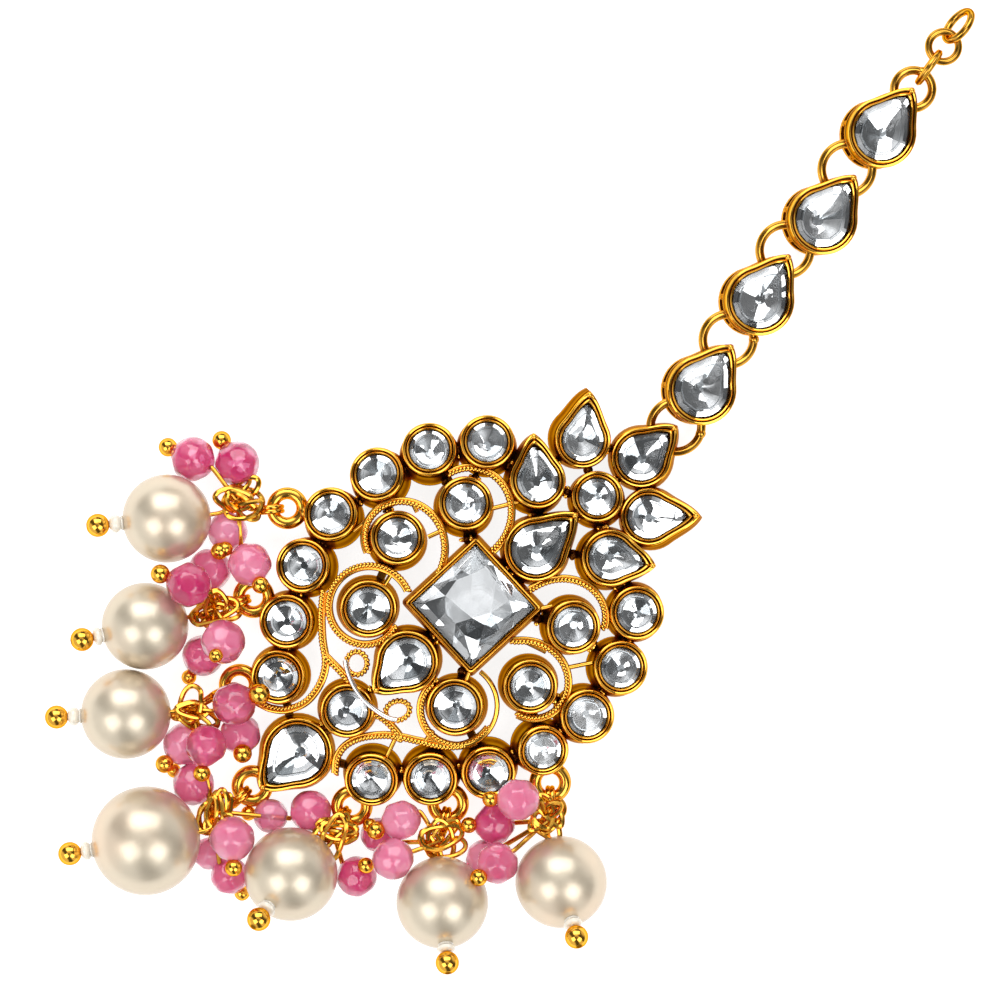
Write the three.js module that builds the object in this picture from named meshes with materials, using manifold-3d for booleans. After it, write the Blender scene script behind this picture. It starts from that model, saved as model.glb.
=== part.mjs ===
// A maang tikka lying face up: a soldered plate of stone cups, a chain of four tall pear settings,
// and seven pearl drops. Millimetres, +Z up. The layout is drawn with the square stone's centre at
// x = 0, y = 0 and the chain running to the upper right. At the end the whole piece is turned so
// that +Y runs along the plate towards the chain, and is set on z = 0.

import * as THREE from 'three';
import { mergeVertices } from 'three/addons/utils/BufferGeometryUtils.js';
import Module from 'manifold-3d';

const wasm = await Module();
wasm.setup();

// Plate
const PLATE_R = 20; // reach that every place on the plate is a share of
const DROP_REACH = PLATE_R / 2; // that every place and size of a drop is a share of
const PLATE_CROWN = 6.2; // height of the square setting's rim
const DOME_R = 75; // radius of the plate's gentle dome
const LAYOUT_TURN = 49.7; // degrees from the layout to the finished piece

// Cups and their stones
const CUP_H = 3.0;
const CUP_FLARE = 0.35; // how far a cup's foot stands out past its rim
const ROUND_RIM_R = PLATE_R / 8;
const RIM_WALL = 0.4;
const POCKET_DEPTH = 1.6;
const SHALLOW_POCKET = 1.0; // of the petal that the chain's first ring passes through
const SQUARE_HALF = PLATE_R * 0.2235;
const SQUARE_CORNER = 0.35;
const STONE_GAP = 0.16;
const CROWN_RISE = 0.5; // how far a stone's table stands above its rim
const GIRDLE_DROP = 0.35; // how far the girdle lies under the rim
const GIRDLE_H = 0.22;
const TABLE_SHARE = 0.52; // table's size as a share of the girdle's

// Scrolls, struts, bars and loops of the plate
const SCROLL_W = 0.42;
const SCROLL_H = 1.3;
const SCROLL_DROP = 0.75; // scroll's top under the dome of the rims
const SCROLL_STEP = 30; // degrees between the points of a scroll
const STRUT_W = 0.5;
const BAR_W = 0.9; // back bars that tie neighbouring cups
const BAR_H = 0.8;
const LOOP_R = PLATE_R * 0.07;
const LOOP_WIRE_R = 0.42;

// Chain
const CHAIN_PEAR_R = 3.24;
const CHAIN_PEAR_TIP = 5.1;
const CHAIN_STEP = 4.55; // from a ring's centre to the next pear's
const CHAIN_BASE_H = 0.45; // foot ring of a tall setting
const CHAIN_BASE_W = 0.6;
const GALLERY_H = 1.5; // open band that the rings pass through
const POST_W = 0.42;
const CHAIN_CUP_H = 2.0;
const CHAIN_POCKET = 1.5;
const CHAIN_PITCH = 0.05; // forward lean, as a slope
const CHAIN_ROLL = 0.13; // sideways lean, as a slope
const CHAIN_RING_R = 2.38;
const CHAIN_WIRE_R = 0.42;
const RING_CLEAR = 0.13;
const END_RING_R = 1.77;
const END_LINK_R = 1.62;
const END_MIDDLE_R = 1.4;
const END_WIRE_R = 0.36;
const LINK_GAP = 0.14;
const LINK_FUSE = 0.08; // how deep the three last links sink into each other
const LAST_LINK_TILT = 25; // degrees from upright

// Drops
const PIN_R = 0.22;
const BORE_R = 0.36;
const END_BALL_R = 1.08;
const EYE_R = 1.0;
const EYE_OUT = 0.1; // eye's centre past the loop's wire
const WRAP_R = 0.7;
const FLOOR_GAP = 0.02;

const ROUND_SIDES = 10;
const PEAR_SIDES = 14;
const BEAD_SIDES = 10;
const BARREL_FULLNESS = 1.1; // widens a bead's flat middle band
const PEARL_SIDES = 12;
const RING_SIDES = 14;
const WIRE_SIDES = 5;
const STEM_SIDES = 4;
const WRAP_SIDES = 6;

// Round cups: place as shares of PLATE_R, lean as slopes, size as a share of ROUND_RIM_R.
const ROUNDS = [
  { name: 'left_1', x: 0.065, y: 0.76, leanX: 0.03, leanY: 0.19, size: 1 },
  { name: 'left_2', x: -0.205, y: 0.725, leanX: 0, leanY: 0.22, size: 1 },
  { name: 'left_3', x: -0.45, y: 0.61, leanX: -0.13, leanY: 0.19, size: 1 },
  { name: 'left_4', x: -0.665, y: 0.425, leanX: -0.11, leanY: 0.2, size: 1 },
  { name: 'left_5', x: -0.795, y: 0.185, leanX: -0.17, leanY: 0.08, size: 1 },
  { name: 'left_6', x: -0.87, y: -0.075, leanX: -0.06, leanY: 0, size: 1 },
  { name: 'left_7', x: -0.91, y: -0.335, leanX: -0.04, leanY: -0.03, size: 1 },
  { name: 'right_1', x: 0.76, y: -0.035, leanX: 0.09, leanY: 0, size: 1 },
  { name: 'right_2', x: 0.685, y: -0.29, leanX: 0.16, leanY: 0, size: 1 },
  { name: 'right_3', x: 0.53, y: -0.515, leanX: 0.16, leanY: -0.05, size: 1 },
  { name: 'right_4', x: 0.325, y: -0.675, leanX: 0.16, leanY: -0.15, size: 0.94 },
  { name: 'right_5', x: 0.07, y: -0.78, leanX: 0.03, leanY: -0.18, size: 1 },
  { name: 'right_6', x: -0.2, y: -0.81, leanX: 0, leanY: -0.18, size: 1 },
  { name: 'right_7', x: -0.475, y: -0.815, leanX: -0.03, leanY: -0.2, size: 1 },
  { name: 'inner_a', x: -0.035, y: 0.475, leanX: 0.08, leanY: 0.15, size: 1 },
  { name: 'inner_b', x: -0.35, y: 0.315, leanX: 0.05, leanY: 0.12, size: 1 },
  { name: 'inner_c', x: -0.485, y: -0.015, leanX: 0.05, leanY: -0.05, size: 1.05 },
  { name: 'inner_d', x: 0.465, y: -0.1, leanX: 0.14, leanY: -0.05, size: 1 },
  { name: 'inner_e', x: 0.265, y: -0.375, leanX: 0.08, leanY: -0.05, size: 1 },
  { name: 'inner_f', x: -0.085, y: -0.47, leanX: -0.03, leanY: -0.03, size: 1.05 },
  { name: 'inner_g', x: -0.585, y: -0.49, leanX: 0.03, leanY: -0.05, size: 1 },
  { name: 'flower_eye', x: 0.575, y: 0.505, leanX: 0.02, leanY: 0.12, size: 0.95 },
];

// Pear cups: size and tip are shares of ROUND_RIM_R, turn is the tip's direction in degrees.
const PEARS = [
  { name: 'crown', x: 0.29, y: 0.26, size: 1.18, tip: 2.05, turn: 41, leanX: 0.03, leanY: 0.03 },
  { name: 'petal_1', x: 0.3, y: 0.58, size: 1.04, tip: 1.78, turn: 94.8, leanX: 0.14, leanY: 0.12 },
  { name: 'petal_2', x: 0.51, y: 0.765, size: 1.04, tip: 1.85, turn: 82, leanX: 0.13, leanY: -0.1 },
  { name: 'petal_3', x: 0.78, y: 0.685, size: 1.11, tip: 1.78, turn: 41.6, leanX: -0.03, leanY: 0 },
  { name: 'petal_4', x: 0.815, y: 0.41, size: 1.06, tip: 1.89, turn: 1, leanX: -0.09, leanY: 0.06 },
  { name: 'petal_5', x: 0.635, y: 0.22, size: 1.06, tip: 1.74, turn: -10, leanX: 0.12, leanY: 0.03 },
  { name: 'corner', x: -0.82, y: -0.69, size: 1.3, tip: 1.95, turn: 224.6, leanX: 0.06, leanY: 0 },
  { name: 'inner', x: -0.305, y: -0.26, size: 1.15, tip: 1.7, turn: 222.8, leanX: 0, leanY: -0.06 },
];

// Pairs of cups that a bar ties together
const BARS = [
  ['square', 'crown'], ['square', 'inner'], ['square', 'inner_d'], ['inner_c', 'inner'],
  ['inner_f', 'inner'], ['inner_c', 'inner_b'], ['inner_a', 'left_2'], ['inner_b', 'left_3'],
  ['left_3', 'left_4'], ['left_7', 'corner'], ['inner_g', 'corner'], ['right_7', 'corner'],
  ['inner_f', 'right_5'], ['inner_e', 'right_4'], ['inner_d', 'right_2'], ['crown', 'petal_1'],
  ['petal_1', 'petal_2'], ['petal_2', 'petal_3'],
];

// Scrolls that wind round a cup: angles in degrees, radii as shares of ROUND_RIM_R,
// bend is the power by which the radius runs from the first to the last.
const SPIRALS = [
  { around: 'inner_b', from: 206, to: -43, start: 1.22, end: 2.0, bend: 3 },
  { around: 'inner_a', from: 119, to: -61, start: 1.22, end: 2.0, bend: 1.6 },
  { around: 'inner_c', from: 25, to: 325, start: 1.63, end: 1.22, bend: 2.2 },
  { around: 'inner_d', from: 140, to: -2, start: 2.1, end: 1.08, bend: 0.9 },
  { around: 'inner_e', from: 112, to: -115, start: 1.8, end: 1.12, bend: 0.6 },
  { around: 'inner_f', from: -59, to: -224, start: 1.47, end: 1.16, bend: 1 },
  { around: 'inner_f', from: -75, to: 54, start: 1.5, end: 1.6, bend: 1 },
];

// Scrolls that wander between the cups, as points in shares of PLATE_R.
const STRANDS = [
  { name: 'bottom', points: [[-0.64, -0.82], [-0.64, -0.77], [-0.625, -0.705], [-0.59, -0.66],
    [-0.525, -0.62], [-0.43, -0.61], [-0.34, -0.61], [-0.245, -0.635], [-0.13, -0.66], [-0.04, -0.65]] },
  { name: 'left', points: [[-0.7, 0.065], [-0.71, -0.04], [-0.705, -0.16], [-0.69, -0.25],
    [-0.7, -0.32], [-0.735, -0.39], [-0.79, -0.45], [-0.87, -0.48]] },
  { name: 'heart', points: [[-0.685, -0.25], [-0.6, -0.3], [-0.545, -0.36], [-0.47, -0.37],
    [-0.42, -0.43], [-0.4, -0.52], [-0.36, -0.61]] },
];

// Small radial struts between a cup's rim and its scroll; reach as a share of ROUND_RIM_R.
const STRUTS = [
  { around: 'inner_b', at: 64, reach: 1.5 },
  { around: 'inner_b', at: 6, reach: 1.75 },
  { around: 'inner_a', at: -5, reach: 1.85 },
  { around: 'inner_c', at: 55, reach: 1.7 },
  { around: 'inner_d', at: 76, reach: 1.75 },
  { around: 'inner_e', at: 23, reach: 2.1 },
];

// Pears of the chain: bearing of the step from the ring before, that step as a share of CHAIN_STEP,
// the pear's own turn, the bearing from the pear to the next ring and how far out that ring's
// centre is, as a share of CHAIN_PEAR_TIP. Angles are in degrees.
const CHAIN = [
  { bearing: 55, step: 0.89, turn: 56, next: 62, out: 1.07 },
  { bearing: 51, step: 0.99, turn: 57, next: 63, out: 1.07 },
  { bearing: 38, step: 0.95, turn: 54, next: 64, out: 1.07 },
  { bearing: 46, step: 0.97, turn: 54.6, next: 54, out: 1.04 },
];

// Posts of a tall setting's gallery in degrees: those at the sides turn with the pear,
// and the back and tip posts stand inside the rings that pass round them.
const SIDE_POSTS = [58, -58];
const BACK_POSTS = [-62, 0, 62];
const TIP_POST_SHARE = 0.6; // of the turn from the pear to its next ring

// Edge loops and their drops. The loop's place is in shares of PLATE_R and its height in shares of
// CUP_H. Pearls and beads are shares of DROP_REACH from the loop's centre, z from the floor. A pearl's
// bore points along axis and rises by degrees; tail is the way from its centre to its end ball.
const DROPS = [
  { loop: { x: -0.87, y: 0.45, up: 0.77 },
    pearl: { x: -1.11, y: -0.095, r: 0.41, axis: 185.7, rise: 8, tail: 0.64 },
    beads: [
      { x: -0.885, y: 0.46, z: 0.2, r: 0.2 },
      { x: -0.47, y: 0.42, z: 0.2, r: 0.2 },
      { x: -0.56, y: -0.215, z: 0.185, r: 0.18 },
      { x: -0.34, y: -0.52, z: 0.39, r: 0.195 },
    ] },
  { loop: { x: -1.028, y: 0.035, up: 0.7 },
    pearl: { x: -0.995, y: -0.265, r: 0.403, axis: 191.8, rise: 14, tail: 0.6 },
    beads: [
      { x: -0.41, y: 0.255, z: 0.195, r: 0.192 },
      { x: -0.57, y: 0.125, z: 0.66, r: 0.2 },
      { x: -0.26, y: -0.405, z: 0.54, r: 0.198 },
      { x: -0.475, y: -0.545, z: 0.2, r: 0.187 },
    ] },
  { loop: { x: -1.094, y: -0.375, up: 0.63 },
    pearl: { x: -1.04, y: -0.26, r: 0.416, axis: 182.6, rise: 0, tail: 0.645 },
    beads: [
      { x: -0.03, y: -0.165, z: 0.46, r: 0.195 },
      { x: 0.005, y: -0.46, z: 0.195, r: 0.185 },
      { x: -0.29, y: -0.55, z: 0.5, r: 0.185 },
      { x: -0.52, y: -0.555, z: 0.195, r: 0.19 },
      { x: -0.43, y: -0.93, z: 0.2, r: 0.19 },
    ] },
  { loop: { x: -1.037, y: -0.85, up: 0.45 },
    pearl: { x: -0.96, y: -0.48, r: 0.502, axis: 189.6, rise: 0, tail: 0.715 },
    beads: [
      { x: -0.16, y: -0.46, z: 0.525, r: 0.2 },
      { x: -0.21, y: -0.835, z: 0.175, r: 0.17 },
      { x: -0.405, y: -0.63, z: 0.15, r: 0.145 },
      { x: 0.175, y: -0.28, z: 0.16, r: 0.155 },
    ] },
  { loop: { x: -0.57, y: -0.943, up: 0.53 },
    pearl: { x: -0.555, y: -0.61, r: 0.433, axis: 233.9, rise: 42, tail: 0.62 },
    beads: [
      { x: -0.385, y: -0.045, z: 0.195, r: 0.188 },
      { x: 0.045, y: -0.655, z: 0.2, r: 0.182 },
    ] },
  { loop: { x: -0.12, y: -0.93, up: 0.7 },
    pearl: { x: -0.05, y: -0.9, r: 0.426, axis: 275.6, rise: 31, tail: 0.61 },
    beads: [
      { x: -0.435, y: -0.14, z: 0.385, r: 0.18 },
      { x: -0.66, y: -0.295, z: 0.165, r: 0.155 },
      { x: -0.505, y: -0.485, z: 0.53, r: 0.186 },
    ] },
  { loop: { x: 0.357, y: -0.83, up: 0.8 },
    pearl: { x: 0.1, y: -0.91, r: 0.426, axis: 286.2, rise: 38, tail: 0.615 },
    beads: [
      { x: -0.3, y: -0.13, z: 0.61, r: 0.19 },
      { x: -0.52, y: -0.38, z: 0.31, r: 0.185 },
      { x: -0.62, y: -0.71, z: 0.17, r: 0.165 },
      { x: -0.49, y: -0.725, z: 0.53, r: 0.185 },
    ] },
];

// Materials
const gold = new THREE.MeshStandardMaterial({ color: 0xc98a1e, roughness: 0.28, metalness: 1 });
const crystal = new THREE.MeshStandardMaterial({ color: 0xdfe6ea, roughness: 0.05, metalness: 0.2 });
const ivory = new THREE.MeshStandardMaterial({ color: 0xf1e2cc, roughness: 0.25, metalness: 0 });

// Small maths
const rad = (degrees) => THREE.MathUtils.degToRad(degrees);
const heading = (degrees) => new THREE.Vector3(Math.cos(rad(degrees)), Math.sin(rad(degrees)), 0);
const UP = new THREE.Vector3(0, 0, 1);

/** Height of the plate's dome of rims over a place of the layout. */
const domeHeight = (x, y) => PLATE_CROWN - (x * x + y * y) / (2 * DOME_R);

/** A frame standing at a point, its own z leaning by two slopes, turned about that z. */
function standing(point, leanX, leanY, turn) {
  const normal = new THREE.Vector3(leanX, leanY, 1).normalize();
  const lean = new THREE.Quaternion().setFromUnitVectors(UP, normal);
  const spin = new THREE.Quaternion().setFromAxisAngle(UP, rad(turn));
  return new THREE.Matrix4().compose(point, lean.multiply(spin), new THREE.Vector3(1, 1, 1));
}

// Outlines: each gives the points of a closed line, inset by a distance

/** Circle of a radius. */
const circleOutline = (radius, sides) => (inset) => Array.from({ length: sides }, (_, i) => {
  const angle = (2 * Math.PI * i) / sides;
  return new THREE.Vector2(Math.cos(angle), Math.sin(angle)).multiplyScalar(radius - inset);
});

/** Pear: a round end about the centre and a tip on +x, with straight flanks. */
const pearOutline = (radius, tip, sides) => (inset) => {
  const slant = Math.acos(radius / tip);
  const round = radius - inset;
  const sharp = round / Math.cos(slant);
  const arcSteps = sides - 4;
  const points = [new THREE.Vector2(sharp, 0)];
  const flank = new THREE.Vector2(Math.cos(slant), Math.sin(slant)).multiplyScalar(round);
  points.push(flank.clone().lerp(points[0], 0.5).multiplyScalar(1.03));
  for (let i = 0; i <= arcSteps; i += 1) {
    const angle = slant + ((2 * Math.PI - 2 * slant) * i) / arcSteps;
    points.push(new THREE.Vector2(Math.cos(angle), Math.sin(angle)).multiplyScalar(round));
  }
  points.push(new THREE.Vector2(points[1].x, -points[1].y));
  return points;
};

/** Square with its corners cut. */
const squareOutline = (half, corner) => (inset) => {
  const h = half - inset;
  const c = h - corner;
  return [[h, c], [c, h], [-c, h], [-h, c], [-h, -c], [-c, -h], [c, -h], [h, -c]]
    .map(([x, y]) => new THREE.Vector2(x, y));
};

/** Closed body through rings of one outline; rows are [inset, z], capped at two heights. */
function loft(outline, rows, bottomZ, topZ) {
  const positions = [];
  const index = [];
  const rings = rows.map(([inset]) => outline(inset));
  const sides = rings[0].length;
  rings.forEach((ring, row) => ring.forEach((p) => positions.push(p.x, p.y, rows[row][1])));
  const bottom = positions.length / 3;
  positions.push(0, 0, bottomZ, 0, 0, topZ);
  const last = (rows.length - 1) * sides;
  for (let i = 0; i < sides; i += 1) {
    const j = (i + 1) % sides;
    index.push(bottom, j, i, bottom + 1, last + i, last + j);
    for (let row = 0; row < rows.length - 1; row += 1) {
      const low = row * sides;
      const high = low + sides;
      index.push(low + i, low + j, high + j, low + i, high + j, high + i);
    }
  }
  const geometry = new THREE.BufferGeometry();
  geometry.setAttribute('position', new THREE.Float32BufferAttribute(positions, 3));
  geometry.setIndex(index);
  return geometry;
}

// Solids: geometry in and out of the boolean kernel

function toSolid(geometry) {
  const plain = geometry.clone();
  plain.deleteAttribute('normal');
  plain.deleteAttribute('uv');
  const merged = mergeVertices(plain, 1e-4);
  return new wasm.Manifold(new wasm.Mesh({
    numProp: 3,
    vertProperties: new Float32Array(merged.attributes.position.array),
    triVerts: new Uint32Array(merged.index.array),
  }));
}

function toGeometry(solid) {
  const mesh = solid.getMesh();
  const geometry = new THREE.BufferGeometry();
  geometry.setAttribute('position', new THREE.Float32BufferAttribute(mesh.vertProperties, 3));
  geometry.setIndex(new THREE.Uint32BufferAttribute(mesh.triVerts, 1));
  geometry.computeVertexNormals();
  return geometry;
}

const joined = (geometries) => geometries.map(toSolid).reduce((body, next) => body.add(next));

const model = new THREE.Group();

function addPiece(name, geometry, material) {
  const mesh = new THREE.Mesh(geometry, material);
  mesh.name = name;
  model.add(mesh);
}

/** Straight wire or bar between two points. */
function rod(from, to, radius, sides = WIRE_SIDES) {
  const along = to.clone().sub(from);
  const turn = new THREE.Quaternion().setFromUnitVectors(new THREE.Vector3(0, 1, 0), along.clone().normalize());
  const geometry = new THREE.CylinderGeometry(radius, radius, along.length(), sides, 1);
  geometry.applyQuaternion(turn);
  const middle = from.clone().lerp(to, 0.5);
  return geometry.translate(middle.x, middle.y, middle.z);
}

/** Flat bar between two points, its width level. */
function bar(from, to, width, height) {
  const flat = to.clone().sub(from);
  const geometry = new THREE.BoxGeometry(flat.length(), width, height);
  geometry.applyQuaternion(new THREE.Quaternion().setFromUnitVectors(
    new THREE.Vector3(1, 0, 0), flat.clone().normalize()));
  const middle = from.clone().lerp(to, 0.5);
  return geometry.translate(middle.x, middle.y, middle.z);
}

/** Round wire ring in a frame's xy plane. */
function wireRing(radius, wire, frame, steps = RING_SIDES) {
  return new THREE.TorusGeometry(radius, wire, WIRE_SIDES, steps).applyMatrix4(frame);
}

/** Bead or ball: a barrel of three bands about an upright axis. */
function bead(centre, radius) {
  const geometry = new THREE.SphereGeometry(radius, BEAD_SIDES, 3);
  geometry.scale(BARREL_FULLNESS, 1, BARREL_FULLNESS);
  return geometry.rotateX(Math.PI / 2).translate(centre.x, centre.y, centre.z);
}

// Plate

/** Turns a row of a cup table into the cup's frame, outlines and heights. */
function cupFrom(row, outline, size) {
  const height = row.height ?? CUP_H;
  const x = row.x * PLATE_R;
  const y = row.y * PLATE_R;
  const normal = new THREE.Vector3(row.leanX, row.leanY, 1).normalize();
  const rim = new THREE.Vector3(x, y, domeHeight(x, y));
  const foot = rim.clone().addScaledVector(normal, -height);
  return { ...row, outline, size, height, rim, foot, normal,
    pocket: row.pocket ?? POCKET_DEPTH, frame: standing(foot, row.leanX, row.leanY, row.turn ?? 0) };
}

const roundCups = ROUNDS.map((row) => cupFrom(
  row, (sides) => circleOutline(ROUND_RIM_R * row.size, sides), ROUND_RIM_R * row.size));
const pearCups = PEARS.map((row) => cupFrom(
  row.name === 'petal_3' ? { ...row, pocket: SHALLOW_POCKET } : row,
  (sides) => pearOutline(ROUND_RIM_R * row.size, ROUND_RIM_R * row.tip, sides), ROUND_RIM_R * row.size));
const squareCup = cupFrom({ name: 'square', x: 0, y: 0, leanX: 0, leanY: 0, turn: 42.7 },
  () => squareOutline(SQUARE_HALF, SQUARE_CORNER), SQUARE_HALF);
const allCups = [squareCup, ...pearCups, ...roundCups];
const cupNamed = (name) => allCups.find((cup) => cup.name === name);

const cupSides = (cup) => (cup.tip ? PEAR_SIDES : ROUND_SIDES);

/** Outer body of a cup, with its flared foot. */
function cupShell(cup) {
  const rows = [[-CUP_FLARE, 0], [0, cup.height]];
  return loft(cup.outline(cupSides(cup)), rows, 0, cup.height).applyMatrix4(cup.frame);
}

/** Room for a cup's stone, open upwards. */
function cupPocket(cup) {
  const floor = cup.height - cup.pocket;
  const rows = [[RIM_WALL, floor], [RIM_WALL, cup.height + POCKET_DEPTH]];
  return loft(cup.outline(cupSides(cup)), rows, floor, rows[1][1]).applyMatrix4(cup.frame);
}

/** Cut stone of a cup: pavilion, girdle, crown and table. */
function cutStone(cup) {
  const inset = RIM_WALL + STONE_GAP;
  const girdle = cup.height - GIRDLE_DROP;
  const width = cup.size - inset;
  const rows = [[inset, girdle - GIRDLE_H], [inset, girdle],
    [inset + width * (1 - TABLE_SHARE), cup.height + CROWN_RISE]];
  const culet = cup.height - cup.pocket + STONE_GAP;
  return loft(cup.outline(cupSides(cup)), rows, culet, rows[2][1]).applyMatrix4(cup.frame);
}

/** Low bars behind the stones, between the pairs of cups whose feet don't meet. */
function backBars() {
  return BARS.map(([a, b]) => {
    const lift = new THREE.Vector3(0, 0, BAR_H * 0.75);
    return bar(cupNamed(a).foot.clone().add(lift), cupNamed(b).foot.clone().add(lift), BAR_W, BAR_H);
  });
}

/** Upright strip along a plan line, its top following the dome. */
function drapedStrip(line) {
  const left = [];
  const right = [];
  line.forEach((p, i) => {
    const ahead = line[Math.min(i + 1, line.length - 1)];
    const behind = line[Math.max(i - 1, 0)];
    const side = ahead.clone().sub(behind).normalize().rotateAround(new THREE.Vector2(), Math.PI / 2);
    left.push(p.clone().addScaledVector(side, SCROLL_W / 2));
    right.unshift(p.clone().addScaledVector(side, -SCROLL_W / 2));
  });
  const outline = new THREE.Shape([...left, ...right]);
  const geometry = new THREE.ExtrudeGeometry(outline, { depth: SCROLL_H, bevelEnabled: false });
  const place = geometry.attributes.position;
  for (let i = 0; i < place.count; i += 1) {
    const drop = domeHeight(place.getX(i), place.getY(i)) - SCROLL_DROP - SCROLL_H;
    place.setZ(i, place.getZ(i) + drop);
  }
  return geometry;
}

function spiralLine({ around, from, to, start, end, bend }) {
  const cup = cupNamed(around);
  const steps = Math.ceil(Math.abs(to - from) / SCROLL_STEP);
  return Array.from({ length: steps + 1 }, (_, i) => {
    const share = i / steps;
    const radius = ROUND_RIM_R * (start + (end - start) * share ** bend);
    const angle = rad(from + (to - from) * share);
    return new THREE.Vector2(cup.rim.x + radius * Math.cos(angle), cup.rim.y + radius * Math.sin(angle));
  });
}

function strandLine({ points }) {
  const curve = new THREE.SplineCurve(points.map(([x, y]) => new THREE.Vector2(x * PLATE_R, y * PLATE_R)));
  return curve.getPoints(Math.round(1.5 * (points.length - 1)));
}

function radialStrut({ around, at, reach }) {
  const cup = cupNamed(around);
  const out = heading(at);
  const from = cup.rim.clone().addScaledVector(out, cup.size - RIM_WALL / 2);
  const to = cup.rim.clone().addScaledVector(out, ROUND_RIM_R * reach);
  from.z = domeHeight(from.x, from.y) - SCROLL_DROP - STRUT_W;
  to.z = domeHeight(to.x, to.y) - SCROLL_DROP - STRUT_W;
  return bar(from, to, STRUT_W, STRUT_W);
}

const loopCentre = ({ x, y, up }) => new THREE.Vector3(x * PLATE_R, y * PLATE_R, up * CUP_H);

/** Soldered edge loop, leaning on the nearest cup and tied to it by a short stub. */
function edgeLoop(loop) {
  const centre = loopCentre(loop);
  const frame = new THREE.Matrix4().makeTranslation(centre.x, centre.y, centre.z);
  const near = allCups.reduce((a, b) => (
    b.foot.distanceTo(centre) < a.foot.distanceTo(centre) ? b : a));
  const inward = new THREE.Vector3(near.foot.x - centre.x, near.foot.y - centre.y, 0).normalize();
  const from = centre.clone().addScaledVector(inward, LOOP_R);
  const to = new THREE.Vector3(near.foot.x, near.foot.y, centre.z);
  return [wireRing(LOOP_R, LOOP_WIRE_R, frame, ROUND_SIDES), rod(from, to, LOOP_WIRE_R)];
}

// Chain

/** Lays out pears and rings one after the other, from the tip of the flower's top petal. */
function layChain() {
  const petal = cupNamed('petal_3');
  const start = petal.rim.clone().addScaledVector(heading(petal.turn), ROUND_RIM_R * petal.tip);
  const rings = [start.setZ(0)];
  const pears = CHAIN.map((row) => {
    const centre = rings.at(-1).clone().addScaledVector(heading(row.bearing), CHAIN_STEP * row.step);
    const ahead = heading(row.turn);
    const side = heading(row.turn - 90);
    const lean = ahead.clone().multiplyScalar(CHAIN_PITCH).addScaledVector(side, CHAIN_ROLL);
    rings.push(centre.clone().addScaledVector(heading(row.next), CHAIN_PEAR_TIP * row.out));
    const sink = CHAIN_PEAR_R * lean.length();
    const foot = new THREE.Vector3(centre.x, centre.y, Math.max(sink, CHAIN_PEAR_TIP * CHAIN_PITCH));
    foot.addScaledVector(lean, -(CHAIN_BASE_H + GALLERY_H + CHAIN_CUP_H));
    return { ...row, lean, foot, frame: standing(foot, lean.x, lean.y, row.turn) };
  });
  return { rings, pears };
}

const chain = layChain();

/** Height of a pear's gallery middle over a place. */
function galleryHeight(pear, place) {
  const normal = new THREE.Vector3(pear.lean.x, pear.lean.y, 1).normalize();
  const middle = pear.foot.clone().addScaledVector(normal, CHAIN_BASE_H + GALLERY_H / 2);
  return middle.z - pear.lean.x * (place.x - middle.x) - pear.lean.y * (place.y - middle.y);
}

/** Frame of a ring that hangs between the gallery behind it and the one ahead. */
function ringFrame(centre, bearing, heightAt, behind, ahead, roll) {
  const reach = CHAIN_RING_R * 0.75;
  const along = heading(bearing);
  const back = centre.clone().addScaledVector(along, -reach);
  const front = centre.clone().addScaledVector(along, reach);
  const low = heightAt(behind, back);
  const high = heightAt(ahead, front);
  const slope = (high - low) / (2 * reach);
  const lean = along.clone().multiplyScalar(-slope).addScaledVector(heading(bearing - 90), roll);
  const middle = new THREE.Vector3(centre.x, centre.y, (low + high) / 2);
  return standing(middle, lean.x, lean.y, bearing);
}

const petalThree = cupNamed('petal_3');
const channelHeight = petalThree.foot.z + (CUP_H - SHALLOW_POCKET) / 2;

/** Height that a ring has to keep at one of its ends: a pear's gallery, or a fixed height. */
const heightAtEnd = (end, place) => (typeof end === 'number' ? end : galleryHeight(end, place));

const ringFrames = chain.rings.map((centre, i) => {
  const behind = i === 0 ? channelHeight : chain.pears[i - 1];
  const ahead = i < CHAIN.length ? chain.pears[i] : END_LINK_R + END_WIRE_R;
  const bearing = i < CHAIN.length ? CHAIN[i].bearing : CHAIN[i - 1].turn;
  const roll = i === 0 ? CHAIN_ROLL / 2 : CHAIN_ROLL;
  return ringFrame(centre, bearing, heightAtEnd, behind, ahead, i === CHAIN.length ? CHAIN_ROLL / 2 : roll);
});

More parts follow.
